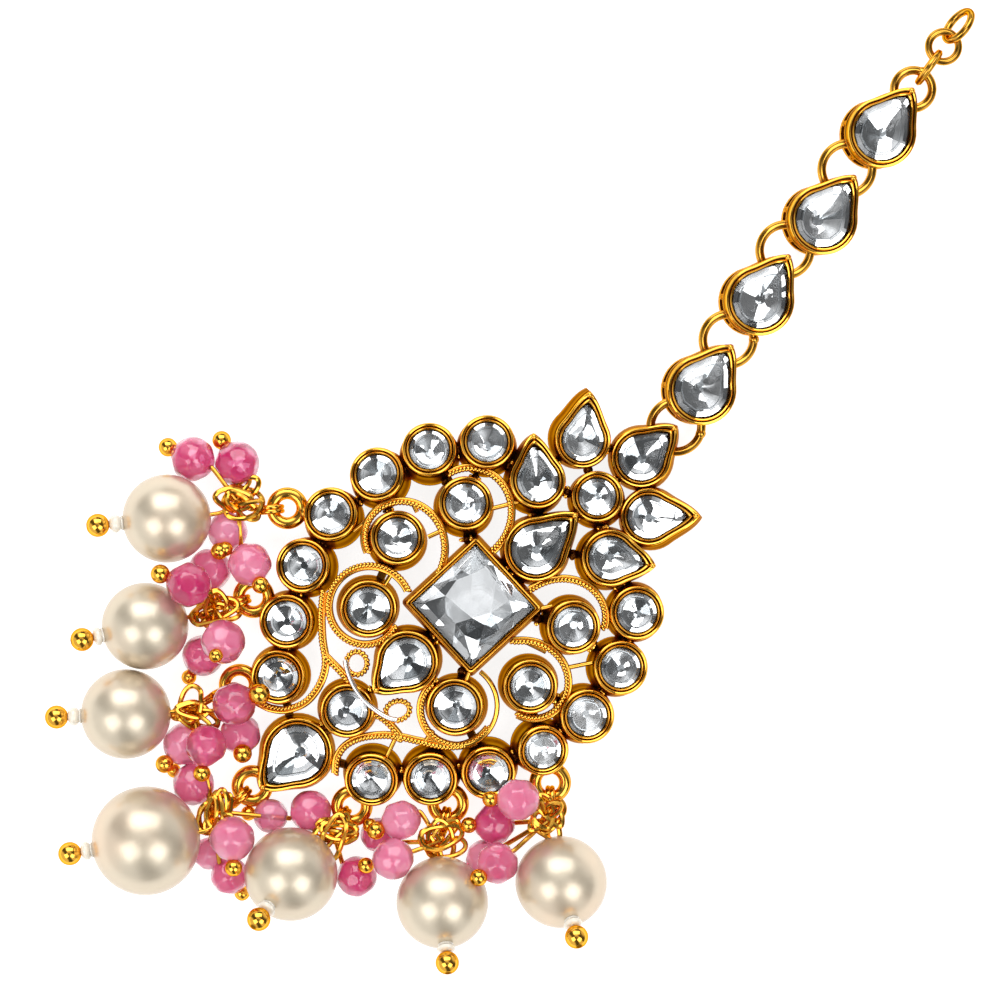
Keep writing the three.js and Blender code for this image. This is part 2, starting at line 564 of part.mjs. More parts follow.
/** Tall pear setting: foot ring, gallery of posts and a cup. */
function tallSetting(pear) {
  const outline = pearOutline(CHAIN_PEAR_R, CHAIN_PEAR_TIP, PEAR_SIDES);
  const top = CHAIN_BASE_H + GALLERY_H;
  const foot = toSolid(loft(outline, [[0, 0], [0, CHAIN_BASE_H]], 0, CHAIN_BASE_H));
  const hollow = loft(outline, [[CHAIN_BASE_W, -1], [CHAIN_BASE_W, CHAIN_BASE_H + 1]], -1, CHAIN_BASE_H + 1);
  const cup = toSolid(loft(outline, [[0, top], [0, top + CHAIN_CUP_H]], top, top + CHAIN_CUP_H));
  const floor = top + CHAIN_CUP_H - CHAIN_POCKET;
  const rows = [[RIM_WALL, floor], [RIM_WALL, top + CHAIN_CUP_H + 1]];
  const pocket = loft(outline, rows, floor, rows[1][1]);
  let body = foot.subtract(toSolid(hollow)).add(cup.subtract(toSolid(pocket)));
  const back = 180 + pear.bearing - pear.turn;
  const tip = TIP_POST_SHARE * (pear.next - pear.turn);
  [tip, ...SIDE_POSTS, ...BACK_POSTS.map((step) => back + step)].forEach((bearing) => {
    const reach = postReach(bearing);
    const post = new THREE.BoxGeometry(POST_W, POST_W, GALLERY_H + CHAIN_BASE_H);
    post.rotateZ(rad(bearing));
    const at = heading(bearing).multiplyScalar(reach);
    body = body.add(toSolid(post.translate(at.x, at.y, top - (GALLERY_H + CHAIN_BASE_H) / 2 + 0.1)));
  });
  return toGeometry(body).applyMatrix4(pear.frame);
}

/** Distance from a tall setting's centre to the middle of its gallery wall along a bearing. */
function postReach(bearing) {
  const slant = Math.acos(CHAIN_PEAR_R / CHAIN_PEAR_TIP);
  const off = Math.abs(((bearing + 180) % 360) - 180);
  const wall = CHAIN_PEAR_R - CHAIN_BASE_W / 2;
  const side = rad(off);
  if (off === 0) {
    return wall / Math.cos(slant) - CHAIN_BASE_W / 2;
  }
  return side < slant ? wall / Math.cos(slant - side) : wall;
}

function tallStone(pear) {
  const outline = pearOutline(CHAIN_PEAR_R, CHAIN_PEAR_TIP, ROUND_SIDES);
  const top = CHAIN_BASE_H + GALLERY_H + CHAIN_CUP_H;
  const inset = RIM_WALL + STONE_GAP;
  const width = CHAIN_PEAR_R - inset;
  const rows = [[inset, top - GIRDLE_DROP - GIRDLE_H], [inset, top - GIRDLE_DROP],
    [inset + width * (1 - TABLE_SHARE), top + CROWN_RISE]];
  return loft(outline, rows, top - CHAIN_POCKET + STONE_GAP, rows[2][1]).applyMatrix4(pear.frame);
}

/** The three last links, hooked into each other past the end ring. */
function endLinks() {
  const bearing = CHAIN.at(-1).turn;
  const along = heading(bearing);
  const side = heading(bearing - 90);
  const height = END_LINK_R + END_WIRE_R + FLOOR_GAP;
  const first = chain.rings.at(-1).clone().setZ(height)
    .addScaledVector(along, END_RING_R + END_LINK_R - CHAIN_WIRE_R - END_WIRE_R - LINK_GAP);
  const step = END_LINK_R + END_MIDDLE_R - 2 * END_WIRE_R + LINK_FUSE;
  const second = first.clone().addScaledVector(along, step);
  const third = second.clone().addScaledVector(along, step);
  const upright = new THREE.Matrix4().makeBasis(along, UP, side).setPosition(first);
  const level = new THREE.Matrix4().makeTranslation(second.x, second.y, second.z);
  const tilt = new THREE.Matrix4().makeRotationAxis(along, rad(LAST_LINK_TILT));
  const last = tilt.multiply(new THREE.Matrix4().makeBasis(along, UP, side)).setPosition(third);
  return toGeometry(joined([
    wireRing(END_LINK_R, END_WIRE_R, upright, ROUND_SIDES),
    wireRing(END_MIDDLE_R, END_WIRE_R, level, ROUND_SIDES),
    wireRing(END_LINK_R, END_WIRE_R, last, ROUND_SIDES),
  ]));
}

// Drops

/** Places that a drop's pieces share: pearl, its axis, the eye on the loop and the wrapped hub. */
function dropPlaces({ loop, pearl }) {
  const centre = loopCentre(loop);
  const radius = pearl.r * DROP_REACH;
  const middle = new THREE.Vector3(pearl.x, pearl.y, 0).multiplyScalar(DROP_REACH).add(centre)
    .setZ(radius + FLOOR_GAP);
  const axis = heading(pearl.axis).multiplyScalar(Math.cos(rad(pearl.rise)))
    .setZ(Math.sin(rad(pearl.rise)));
  const exit = middle.clone().addScaledVector(axis, -(radius + 3 * PIN_R));
  const outward = new THREE.Vector3(exit.x - centre.x, exit.y - centre.y, 0).normalize();
  const eye = centre.clone().addScaledVector(outward, LOOP_R + EYE_OUT);
  const shank = eye.clone().addScaledVector(outward, EYE_R);
  const hub = shank.clone().lerp(exit, 0.5);
  const ball = middle.clone().addScaledVector(axis, pearl.tail * DROP_REACH);
  return { centre, radius, middle, axis, exit, outward, eye, shank, hub, ball };
}

/** Drilled pearl, turned about its own bore. */
function drilledPearl(drop) {
  const { middle, axis, radius } = dropPlaces(drop);
  const start = Math.asin(BORE_R / radius);
  const bands = 6;
  const profile = Array.from({ length: bands + 1 }, (_, i) => {
    const angle = start + ((Math.PI - 2 * start) * i) / bands;
    return new THREE.Vector2(radius * Math.sin(angle), -radius * Math.cos(angle));
  });
  profile.push(profile[0].clone());
  const geometry = new THREE.LatheGeometry(profile, PEARL_SIDES);
  geometry.applyQuaternion(new THREE.Quaternion().setFromUnitVectors(new THREE.Vector3(0, 1, 0), axis));
  return geometry.translate(middle.x, middle.y, middle.z);
}

/** A drop's wire with its eye, wrap, end ball and the beads on their stems. */
function dropWire(drop) {
  const { centre, exit, outward, eye, shank, hub, ball } = dropPlaces(drop);
  const eyeFrame = new THREE.Matrix4()
    .makeBasis(outward, UP, new THREE.Vector3().crossVectors(outward, UP)).setPosition(eye);
  const parts = [
    wireRing(EYE_R, PIN_R, eyeFrame, ROUND_SIDES),
    rod(shank, exit, PIN_R),
    rod(shank.clone().lerp(exit, 0.15), shank.clone().lerp(exit, 0.85), WRAP_R, WRAP_SIDES),
    rod(exit, ball, PIN_R),
    bead(ball, END_BALL_R),
  ];
  drop.beads.forEach((row) => {
    const place = new THREE.Vector3(row.x, row.y, 0).multiplyScalar(DROP_REACH).add(centre)
      .setZ(row.z * DROP_REACH);
    parts.push(bead(place, row.r * DROP_REACH), rod(hub, place, PIN_R, STEM_SIDES));
  });
  return toGeometry(joined(parts));
}

// Assembly

function plateFrame() {
  const parts = [
    ...allCups.map(cupShell),
    ...backBars(),
    ...SPIRALS.map((row) => drapedStrip(spiralLine(row))),
    ...STRANDS.map((row) => drapedStrip(strandLine(row))),
    ...STRUTS.map(radialStrut),
    ...DROPS.flatMap((drop) => edgeLoop(drop.loop)),
  ];
  const pockets = allCups.map((cup) => toSolid(cupPocket(cup)));
  const channel = toSolid(wireRing(CHAIN_RING_R, CHAIN_WIRE_R + RING_CLEAR, ringFrames[0]));
  return toGeometry([...pockets, channel].reduce((body, cut) => body.subtract(cut), joined(parts)));
}

addPiece('plate_frame', plateFrame(), gold);
addPiece('stone_square', cutStone(squareCup), crystal);
pearCups.forEach((cup, i) => addPiece(`stone_pear_${i + 1}`, cutStone(cup), crystal));
roundCups.forEach((cup, i) => addPiece(`stone_round_${i + 1}`, cutStone(cup), crystal));
chain.pears.forEach((pear, i) => {
  addPiece(`chain_setting_${i + 1}`, tallSetting(pear), gold);
  addPiece(`chain_stone_${i + 1}`, tallStone(pear), crystal);
});
ringFrames.forEach((frame, i) => {
  const radius = i < CHAIN.length ? CHAIN_RING_R : END_RING_R;
  addPiece(`chain_ring_${i + 1}`, wireRing(radius, CHAIN_WIRE_R, frame), gold);
});
addPiece('end_links', endLinks(), gold);
DROPS.forEach((drop, i) => {
  addPiece(`drop_pearl_${i + 1}`, drilledPearl(drop), ivory);
  addPiece(`drop_wire_${i + 1}`, dropWire(drop), gold);
});

// Turn the layout so that +Y runs along the plate, and set it on z = 0 over its box's centre
model.rotation.z = rad(LAYOUT_TURN);
const part = new THREE.Group();
part.add(model);
part.updateMatrixWorld(true);
const box = new THREE.Box3().setFromObject(part, true);
const seat = box.getCenter(new THREE.Vector3());
model.position.set(-seat.x, -seat.y, -box.min.z);

export default part;
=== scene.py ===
"""Looks of the maang tikka: a soldered plate of cut stones, a pear chain and seven pearl drops.

Everything is drawn in millimetres in the layout of the photo, x to the right and y up, with the
square stone's centre at the origin. A finished piece is turned into the part's frame once.
"""
import logging
import math
from dataclasses import dataclass, field
from enum import Enum
from typing import Callable, Iterable, Sequence

import bpy
import numpy as np
from mathutils import Matrix, Quaternion, Vector


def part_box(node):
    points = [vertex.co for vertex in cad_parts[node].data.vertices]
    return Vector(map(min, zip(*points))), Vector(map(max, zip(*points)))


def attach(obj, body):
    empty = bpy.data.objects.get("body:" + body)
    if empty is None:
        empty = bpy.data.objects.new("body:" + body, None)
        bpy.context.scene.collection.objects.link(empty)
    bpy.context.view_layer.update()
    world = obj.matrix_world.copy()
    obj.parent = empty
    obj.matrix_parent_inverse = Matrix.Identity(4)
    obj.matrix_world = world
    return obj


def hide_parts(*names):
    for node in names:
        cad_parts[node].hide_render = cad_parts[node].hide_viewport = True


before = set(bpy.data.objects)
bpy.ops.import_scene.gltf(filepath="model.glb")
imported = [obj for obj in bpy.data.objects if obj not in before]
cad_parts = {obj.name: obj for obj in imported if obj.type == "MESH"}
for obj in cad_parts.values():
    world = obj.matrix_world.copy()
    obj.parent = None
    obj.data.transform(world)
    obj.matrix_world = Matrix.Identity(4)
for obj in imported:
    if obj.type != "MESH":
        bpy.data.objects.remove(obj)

LOG = logging.getLogger("maang_tikka")

# Part frame: the layout is turned and moved, and millimetres become metres
LAYOUT_TURN = 49.7
FLOOR_LIFT = 0.0707
MM = 0.001

# Photo: its width in pixels, and the camera's height, field and aim over the layout
PHOTO_W = 1000
VIEW_H = 350.0
VIEW_W = 94.0
AIM = (2.46, 9.77)

# Plate
PLATE_R = 20.0
PLATE_CROWN = 6.2
DOME_R = 75.0
CUP_H = 3.0
CUP_FLARE = 0.35
ROUND_RIM_R = 2.5
SQUARE_HALF = 4.47
SCROLL_DROP = 0.75
LOOP_R = 1.4

# Drops
FLOOR_GAP = 0.02

Array = np.ndarray
Outline = Callable[[float], Array]


@dataclass(frozen=True)
class CupRow:
    """One stone cup of the plate.

    Args:
        name: what the cup is called.
        x, y: place as shares of PLATE_R.
        lean: the cup's lean as two slopes.
        size: rim's radius as a share of ROUND_RIM_R.
        tip: a pear's tip as a share of ROUND_RIM_R, or 0 for a round.
        turn: direction of a pear's tip in degrees.
    """

    name: str
    x: float
    y: float
    lean: tuple[float, float]
    size: float = 1.0
    tip: float = 0.0
    turn: float = 0.0


ROUNDS = (
    CupRow("left_1", 0.065, 0.76, (0.03, 0.19)),
    CupRow("left_2", -0.205, 0.725, (0, 0.22)),
    CupRow("left_3", -0.45, 0.61, (-0.13, 0.19)),
    CupRow("left_4", -0.665, 0.425, (-0.11, 0.2)),
    CupRow("left_5", -0.795, 0.185, (-0.17, 0.08)),
    CupRow("left_6", -0.87, -0.075, (-0.06, 0)),
    CupRow("left_7", -0.91, -0.335, (-0.04, -0.03)),
    CupRow("right_1", 0.76, -0.035, (0.09, 0)),
    CupRow("right_2", 0.685, -0.29, (0.16, 0)),
    CupRow("right_3", 0.53, -0.515, (0.16, -0.05)),
    CupRow("right_4", 0.325, -0.675, (0.16, -0.15), 0.94),
    CupRow("right_5", 0.07, -0.78, (0.03, -0.18)),
    CupRow("right_6", -0.2, -0.81, (0, -0.18)),
    CupRow("right_7", -0.475, -0.815, (-0.03, -0.2)),
    CupRow("inner_a", -0.035, 0.475, (0.08, 0.15)),
    CupRow("inner_b", -0.35, 0.315, (0.05, 0.12)),
    CupRow("inner_c", -0.485, -0.015, (0.05, -0.05), 1.05),
    CupRow("inner_d", 0.465, -0.1, (0.14, -0.05)),
    CupRow("inner_e", 0.265, -0.375, (0.08, -0.05)),
    CupRow("inner_f", -0.085, -0.47, (-0.03, -0.03), 1.05),
    CupRow("inner_g", -0.585, -0.49, (0.03, -0.05)),
    CupRow("flower_eye", 0.575, 0.505, (0.02, 0.12), 0.95),
)
PEARS = (
    CupRow("crown", 0.29, 0.26, (0.03, 0.03), 1.18, 2.05, 41),
    CupRow("petal_1", 0.3, 0.58, (0.14, 0.12), 1.04, 1.78, 94.8),
    CupRow("petal_2", 0.51, 0.765, (0.13, -0.1), 1.04, 1.85, 82),
    CupRow("petal_3", 0.78, 0.685, (-0.03, 0), 1.11, 1.78, 41.6),
    CupRow("petal_4", 0.815, 0.41, (-0.09, 0.06), 1.06, 1.89, 1),
    CupRow("petal_5", 0.635, 0.22, (0.12, 0.03), 1.06, 1.74, -10),
    CupRow("corner", -0.82, -0.69, (0.06, 0), 1.3, 1.95, 224.6),
    CupRow("inner", -0.305, -0.26, (0, -0.06), 1.15, 1.7, 222.8),
)
SQUARE = CupRow("square", 0, 0, (0, 0), 1, 0, 42.7)


class Edge(Enum):
    """How the wire along a scroll's top is worked."""

    PLAIN = "plain"
    ROPE = "rope"


@dataclass(frozen=True)
class SpiralRow:
    """A scroll that winds round a cup; radii are shares of ROUND_RIM_R, angles in degrees.

    Args:
        around: the cup's name.
        start_angle, end_angle: bearings of its ends.
        start, end: radii of its ends.
        bend: power of the angle that the radius follows.
        edge: how its top is worked.
    """

    around: str
    start_angle: float
    end_angle: float
    start: float
    end: float
    bend: float
    edge: Edge = Edge.ROPE


SPIRALS = (
    SpiralRow("inner_b", 206, -43, 1.22, 2.0, 3),
    SpiralRow("inner_a", 119, -61, 1.22, 2.0, 1.6),
    SpiralRow("inner_c", 25, 325, 1.63, 1.22, 2.2),
    SpiralRow("inner_d", 140, -2, 2.1, 1.08, 0.9),
    SpiralRow("inner_e", 112, -115, 1.8, 1.12, 0.6),
    SpiralRow("inner_f", -59, -224, 1.47, 1.16, 1),
    SpiralRow("inner_f", -75, 54, 1.5, 1.6, 1, Edge.PLAIN),
)


@dataclass(frozen=True)
class StrandRow:
    """A scroll that wanders between the cups.

    Args:
        name: what the scroll is called; not used.
        pixels: its line in the photo.
        edge: how its top is worked.
        lift: height of a bright wire over the scrolls, or 0 for a scroll.
    """

    name: str
    pixels: tuple[tuple[float, float], ...]
    edge: Edge
    lift: float = 0.0


STRANDS = (
    StrandRow("left", ((322, 592), (320, 615), (321, 640), (324, 660), (322, 675), (315, 690),
                       (303, 703), (285, 710), (270, 709), (260, 705)), Edge.ROPE),
    StrandRow("heart", ((325, 658), (331, 664), (338, 671), (346, 680), (352, 688)), Edge.ROPE),
    StrandRow("tail", ((372, 714), (385, 722), (397, 735), (399, 741)), Edge.ROPE),
    StrandRow("bottom", ((335, 775), (337, 760), (345, 748), (360, 740), (380, 737), (397, 738),
                         (420, 743), (445, 748), (465, 746), (480, 738), (489, 729)), Edge.ROPE),
    StrandRow("bright", ((345, 660), (347, 670), (353, 685), (362, 698), (375, 710), (388, 718),
                         (397, 720)), Edge.PLAIN, 0.5),
    StrandRow("left_low", ((260, 705), (252, 700), (248, 693)), Edge.ROPE),
)

# Small straight struts, as pixel pairs
STRUTS = (
    ((412, 502), (417, 512)), ((428, 537), (443, 530)), ((353, 531), (364, 522)),
    ((382, 589), (392, 573)), ((490, 509), (518, 502)), ((562, 669), (592, 663)),
    ((395, 739), (386, 758)), ((424, 743), (433, 731)), ((538, 609), (552, 606)),
    ((470, 670), (464, 686)), ((522, 640), (546, 652)),
)

# Pairs of cups that a low bar ties together
BARS = (
    ("square", "crown"), ("square", "inner"), ("square", "inner_d"), ("inner_c", "inner"),
    ("inner_f", "inner"), ("inner_c", "inner_b"), ("inner_a", "left_2"), ("inner_b", "left_3"),
    ("left_3", "left_4"), ("left_7", "corner"), ("inner_g", "corner"), ("right_7", "corner"),
    ("inner_f", "right_5"), ("inner_e", "right_4"), ("inner_d", "right_2"), ("crown", "petal_1"),
    ("petal_1", "petal_2"), ("petal_2", "petal_3"),
)

# Small wire rings of the scrolls: pixel centre, half width and half height, turn, worked edge
EYELETS = (
    ((356.5, 663.5), (12.6, 13.8), 0.0, Edge.ROPE),
    ((397.5, 711.0), (14.5, 11.8), 18.0, Edge.ROPE),
)


@dataclass(frozen=True)
class BeadRow:
    """A pink bead and the small gold ball at its outer end.

    Args:
        x, y: place from the drop's loop, mm.
        z: height over the floor, mm.
        r: radius, mm.
        at, up: bearing and elevation of the small ball in degrees.
        ball: the small ball's radius, or 0 where none shows.
    """

    x: float
    y: float
    z: float
    r: float
    at: float = 0.0
    up: float = 0.0
    ball: float = 0.0


@dataclass(frozen=True)
class DropRow:
    """One drop: its edge loop as shares, its pearl from the loop and its beads.

    Args:
        loop: x and y as shares of PLATE_R, height as a share of CUP_H.
        pearl: x, y and radius of the pearl in mm from the loop's centre.
        axis: bearing of the pearl's pin in degrees.
        rise: how far the pin points up, in degrees.
        tail: distance from the pearl's centre to its end ball, mm.
        beads: the pink beads.
        knot: the wire tangle's centre, mm from the loop.
    """

    loop: tuple[float, float, float]
    pearl: tuple[float, float, float]
    axis: float
    rise: float
    tail: float
    knot: tuple[float, float, float]
    beads: tuple[BeadRow, ...] = field(default_factory=tuple)


DROPS = (
    DropRow((-0.87, 0.45, 0.77), (-11.1, -0.95, 4.1), 185.7, 8, 6.4, (-4.6, 0.75, 3.0), (
        BeadRow(-8.85, 4.6, 2.0, 2.0, 155, -18, 0.87),
        BeadRow(-4.7, 4.2, 2.0, 2.0, 125, -18, 0.87),
        BeadRow(-5.6, -2.15, 1.85, 1.8, 267, 48, 0.7),
        BeadRow(-3.4, -5.2, 3.9, 1.95, 300, 35, 0.8),
    )),
    DropRow((-1.028, 0.035, 0.7), (-9.95, -2.65, 4.03), 191.8, 14, 6.0, (-3.6, -1.0, 3.0), (
        BeadRow(-4.1, 2.55, 1.95, 1.92, 60, 40, 0.8),
        BeadRow(-5.7, 1.25, 6.6, 2.0, 159, 0, 0.88),
        BeadRow(-2.6, -4.05, 5.4, 1.98, 247, 60, 0.66),
        BeadRow(-4.75, -5.45, 2.0, 1.87, 237, -10, 0.7),
    )),
    DropRow((-1.094, -0.375, 0.63), (-10.4, -2.6, 4.16), 182.6, 0, 6.45, (-4.2, -2.2, 3.2), (
        BeadRow(-0.3, -1.65, 4.6, 1.95, 22, 25, 1.0),
        BeadRow(0.05, -4.6, 1.95, 1.85, 282, 49, 0.88),
        BeadRow(-2.9, -5.5, 5.0, 1.85, 262, 5, 0.8),
        BeadRow(-5.2, -5.55, 1.95, 1.9, 226, 20, 0.84),
        BeadRow(-4.3, -9.3, 2.0, 1.9, 148, -25, 0.66),
    )),
    DropRow((-1.037, -0.85, 0.45), (-9.6, -4.8, 5.02), 189.6, 0, 7.15, (-3.4, -2.2, 3.4), (
        BeadRow(-1.6, -4.6, 5.25, 2.0, 274, 15, 0.8),
        BeadRow(-2.1, -8.35, 1.75, 1.7, 302, -28, 0.72),
        BeadRow(-4.05, -6.3, 1.5, 1.45),
        BeadRow(1.75, -2.8, 1.6, 1.55, 174, -12, 0.7),
    )),
    DropRow((-0.57, -0.943, 0.53), (-5.55, -6.1, 4.33), 233.9, 42, 6.2, (-1.6, -2.5, 3.2), (
        BeadRow(-3.85, -0.45, 1.95, 1.88),
        BeadRow(0.45, -6.55, 2.0, 1.82, 52, 52, 0.75),
    )),
    DropRow((-0.12, -0.93, 0.7), (-0.5, -9.0, 4.26), 275.6, 31, 6.1, (-0.7, -3.4, 3.2), (
        BeadRow(-4.35, -1.4, 3.85, 1.8, 201, 15, 0.85),
        BeadRow(-6.6, -2.95, 1.65, 1.55, 122, 55, 0.66),
        BeadRow(-5.05, -4.85, 5.3, 1.86),
    )),
    DropRow((0.357, -0.83, 0.8), (1.0, -9.1, 4.26), 286.2, 38, 6.15, (-0.3, -3.4, 3.4), (
        BeadRow(-3.0, -1.3, 6.1, 1.9, 179, 0, 0.75),
        BeadRow(-5.2, -3.8, 3.1, 1.85, 181, 20, 0.75),
        BeadRow(-6.2, -7.1, 1.7, 1.65),
        BeadRow(-4.9, -7.25, 5.3, 1.85, 214, 35, 0.8),
    )),
)


@dataclass(frozen=True)
class ChainRow:
    """One pear of the chain, laid from the ring before it.

    Args:
        bearing: direction from that ring to the pear's centre, degrees.
        step: that distance as a share of Chain.step.
        turn: direction of the pear's tip, degrees.
        onward: direction from the pear to the next ring, degrees.
        out: that distance as a share of the tip's reach.
    """

    bearing: float
    step: float
    turn: float
    onward: float
    out: float


CHAIN = (
    ChainRow(55, 0.89, 56, 62, 1.07),
    ChainRow(51, 0.99, 57, 63, 1.07),
    ChainRow(38, 0.95, 54, 64, 1.07),
    ChainRow(46, 0.97, 54.6, 54, 1.04),
)


# Small maths


def heading(degrees: float, z: float = 0.0) -> Array:
    """Unit vector of a bearing in the layout."""
    return np.array([math.cos(math.radians(degrees)), math.sin(math.radians(degrees)), z])


def dome(x: Array | float, y: Array | float) -> Array | float:
    """Height of the plate's dome of rims."""
    return PLATE_CROWN - (x * x + y * y) / (2 * DOME_R)


def from_pixel(pixel: Sequence[float], z: float = 5.0) -> Array:
    """Layout place of a pixel of the photo, for something at a height above the floor."""
    scale, middle = VIEW_W / PHOTO_W * (1 - z / VIEW_H), PHOTO_W / 2
    return np.array([(pixel[0] - middle) * scale + AIM[0], (middle - pixel[1]) * scale + AIM[1], z])


def standing(point: Sequence[float], lean: Sequence[float], turn: float = 0.0) -> Matrix:
    """Frame at a point whose z leans by two slopes, turned about that z.

    Args:
        point: the frame's origin.
        lean: the two slopes of its z.
        turn: turn about its z in degrees.

    Returns:
        The frame.
    """
    normal = Vector((lean[0], lean[1], 1)).normalized()
    tilt = Vector((0, 0, 1)).rotation_difference(normal)
    spin = Quaternion((0, 0, 1), math.radians(turn))
    return Matrix.Translation(Vector(point)) @ (tilt @ spin).to_matrix().to_4x4()


def axes(origin: Sequence[float], x: Sequence[float], y: Sequence[float], z: Sequence[float]) -> Matrix:
    """Frame from an origin and three directions.

    Args:
        origin: the frame's origin.
        x: its first axis.
        y: its second axis.
        z: its third axis.

    Returns:
        The frame.
    """
    matrix = Matrix.Identity(4)
    for column, vector in enumerate((x, y, z, origin)):
        for row in range(3):
            matrix[row][column] = float(vector[row])
    return matrix


def moved(points: Array, matrix: Matrix) -> Array:
    """Points through a matrix."""
    m = np.array(matrix)
    return points @ m[:3, :3].T + m[:3, 3]


def layout_matrix() -> Matrix:
    """Layout millimetres to the part's metres, with the square stone's centre at the origin.

    Returns:
        The matrix that every finished mesh goes through once.
    """
    low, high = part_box("stone_square")
    turn = Matrix.Rotation(math.radians(LAYOUT_TURN), 4, "Z")
    shift = Matrix.Translation(Vector(((low.x + high.x) / 2, (low.y + high.y) / 2, FLOOR_LIFT * MM)))
    return shift @ Matrix.Scale(MM, 4) @ turn


LAYOUT = layout_matrix()


# Outlines

# How far a pear's tip follows when the outline grows, and what brings a flank's swell to 1 at most
BLUNT_TIP = 0.45
FLANK_PEAK = 6.75


def circle_outline(radius: float, sides: int) -> Outline:
    """Circle, inset by a distance."""
    unit = circle_section(1.0, sides)
    return lambda inset: unit * (radius - inset)


def pear_outline(radius: float, tip: float, sides: int, bulge: float = 0.075) -> Outline:
    """Pear with its tip on +x: round end, gently bulging flanks.

    Args:
        radius: radius of the round end.
        tip: distance of the tip from the round end's centre.
        sides: how many points it has.
        bulge: how far the flanks swell, as a share of the radius.

    Returns:
        A function from an inset to the points.
    """
    slant = math.acos(radius / tip)
    flank_steps = sides // 4
    arc_steps = sides - 2 * flank_steps

    def outline(inset: float) -> Array:
        """Points of the pear.

        Args:
            inset: how far they lie inside.

        Returns:
            The points, from the tip round.
        """
        round_r = radius - inset
        reach = radius / math.cos(slant)
        sharp = np.array([reach - inset * (1 / math.cos(slant) if inset > 0 else BLUNT_TIP), 0.0])
        shoulder = np.array([math.cos(slant), math.sin(slant)]) * round_r
        share = np.arange(flank_steps)[:, None] / flank_steps
        outward = np.array([math.cos(slant), math.sin(slant)])
        flank = sharp * (1 - share) + shoulder * share
        flank = flank + outward * (FLANK_PEAK * share * (1 - share) ** 2) * bulge * round_r
        angle = slant + (2 * math.pi - 2 * slant) * np.arange(arc_steps + 1) / arc_steps
        arc = np.stack([np.cos(angle), np.sin(angle)], 1) * round_r
        back = flank[1:][::-1] * np.array([1, -1])
        return np.concatenate([flank, arc, back])

    return outline


def tip_spot(outline: Outline, z: float) -> Array:
    """Where a pear outline's tip gets its small ball of metal, as one row."""
    ring = outline(0.2)
    return np.array([[*ring[int(np.argmax(ring[:, 0]))], z]])


def square_outline(half: float, corner: float, steps: int = 3) -> Outline:
    """Square with slightly rounded corners.

    Args:
        half: half its width.
        corner: radius of its corners.
        steps: spans of a corner.

    Returns:
        A function from an inset to the points.
    """

    def outline(inset: float) -> Array:
        """Points of the square.

        Args:
            inset: how far they lie inside.

        Returns:
            The points, corner by corner.
        """
        h = half - inset
        r = max(corner - inset * 0.4, 0.06)
        points = []
        for quarter in range(4):
            start = quarter * 90
            cx, cy = (h - r) * np.array([(1, 1), (-1, 1), (-1, -1), (1, -1)][quarter])
            for i in range(steps + 1):
                angle = math.radians(start + 90 * i / steps)
                points.append((cx + r * math.cos(angle), cy + r * math.sin(angle)))
        return np.array(points)

    return outline


# Mesh building


def belts(rows: int, sides: int, closed: bool = False) -> list[tuple[int, ...]]:
    """Faces between neighbouring rings of points.

    Args:
        rows: how many rings.
        sides: points of a ring.
        closed: whether the last ring joins the first.

    Returns:
        The faces, which look outwards where the rings rise.
    """
    faces = []
    for row in range(rows if closed else rows - 1):
        low, high = row * sides, (row + 1) % rows * sides
        for i in range(sides):
            j = (i + 1) % sides
            faces.append((low + i, low + j, high + j, high + i))
    return faces


def about(centre: Array, axis: Array) -> Matrix:
    """Frame whose z is an axis.

    Args:
        centre: the frame's origin.
        axis: the axis, of length 1.

    Returns:
        The frame.
    """
    helper = np.array([0.0, 0.0, 1.0]) if abs(axis[2]) < 0.9 else np.array([1.0, 0.0, 0.0])
    side = np.cross(helper, axis)
    side /= np.linalg.norm(side)
    return axes(centre, side, np.cross(axis, side), axis)


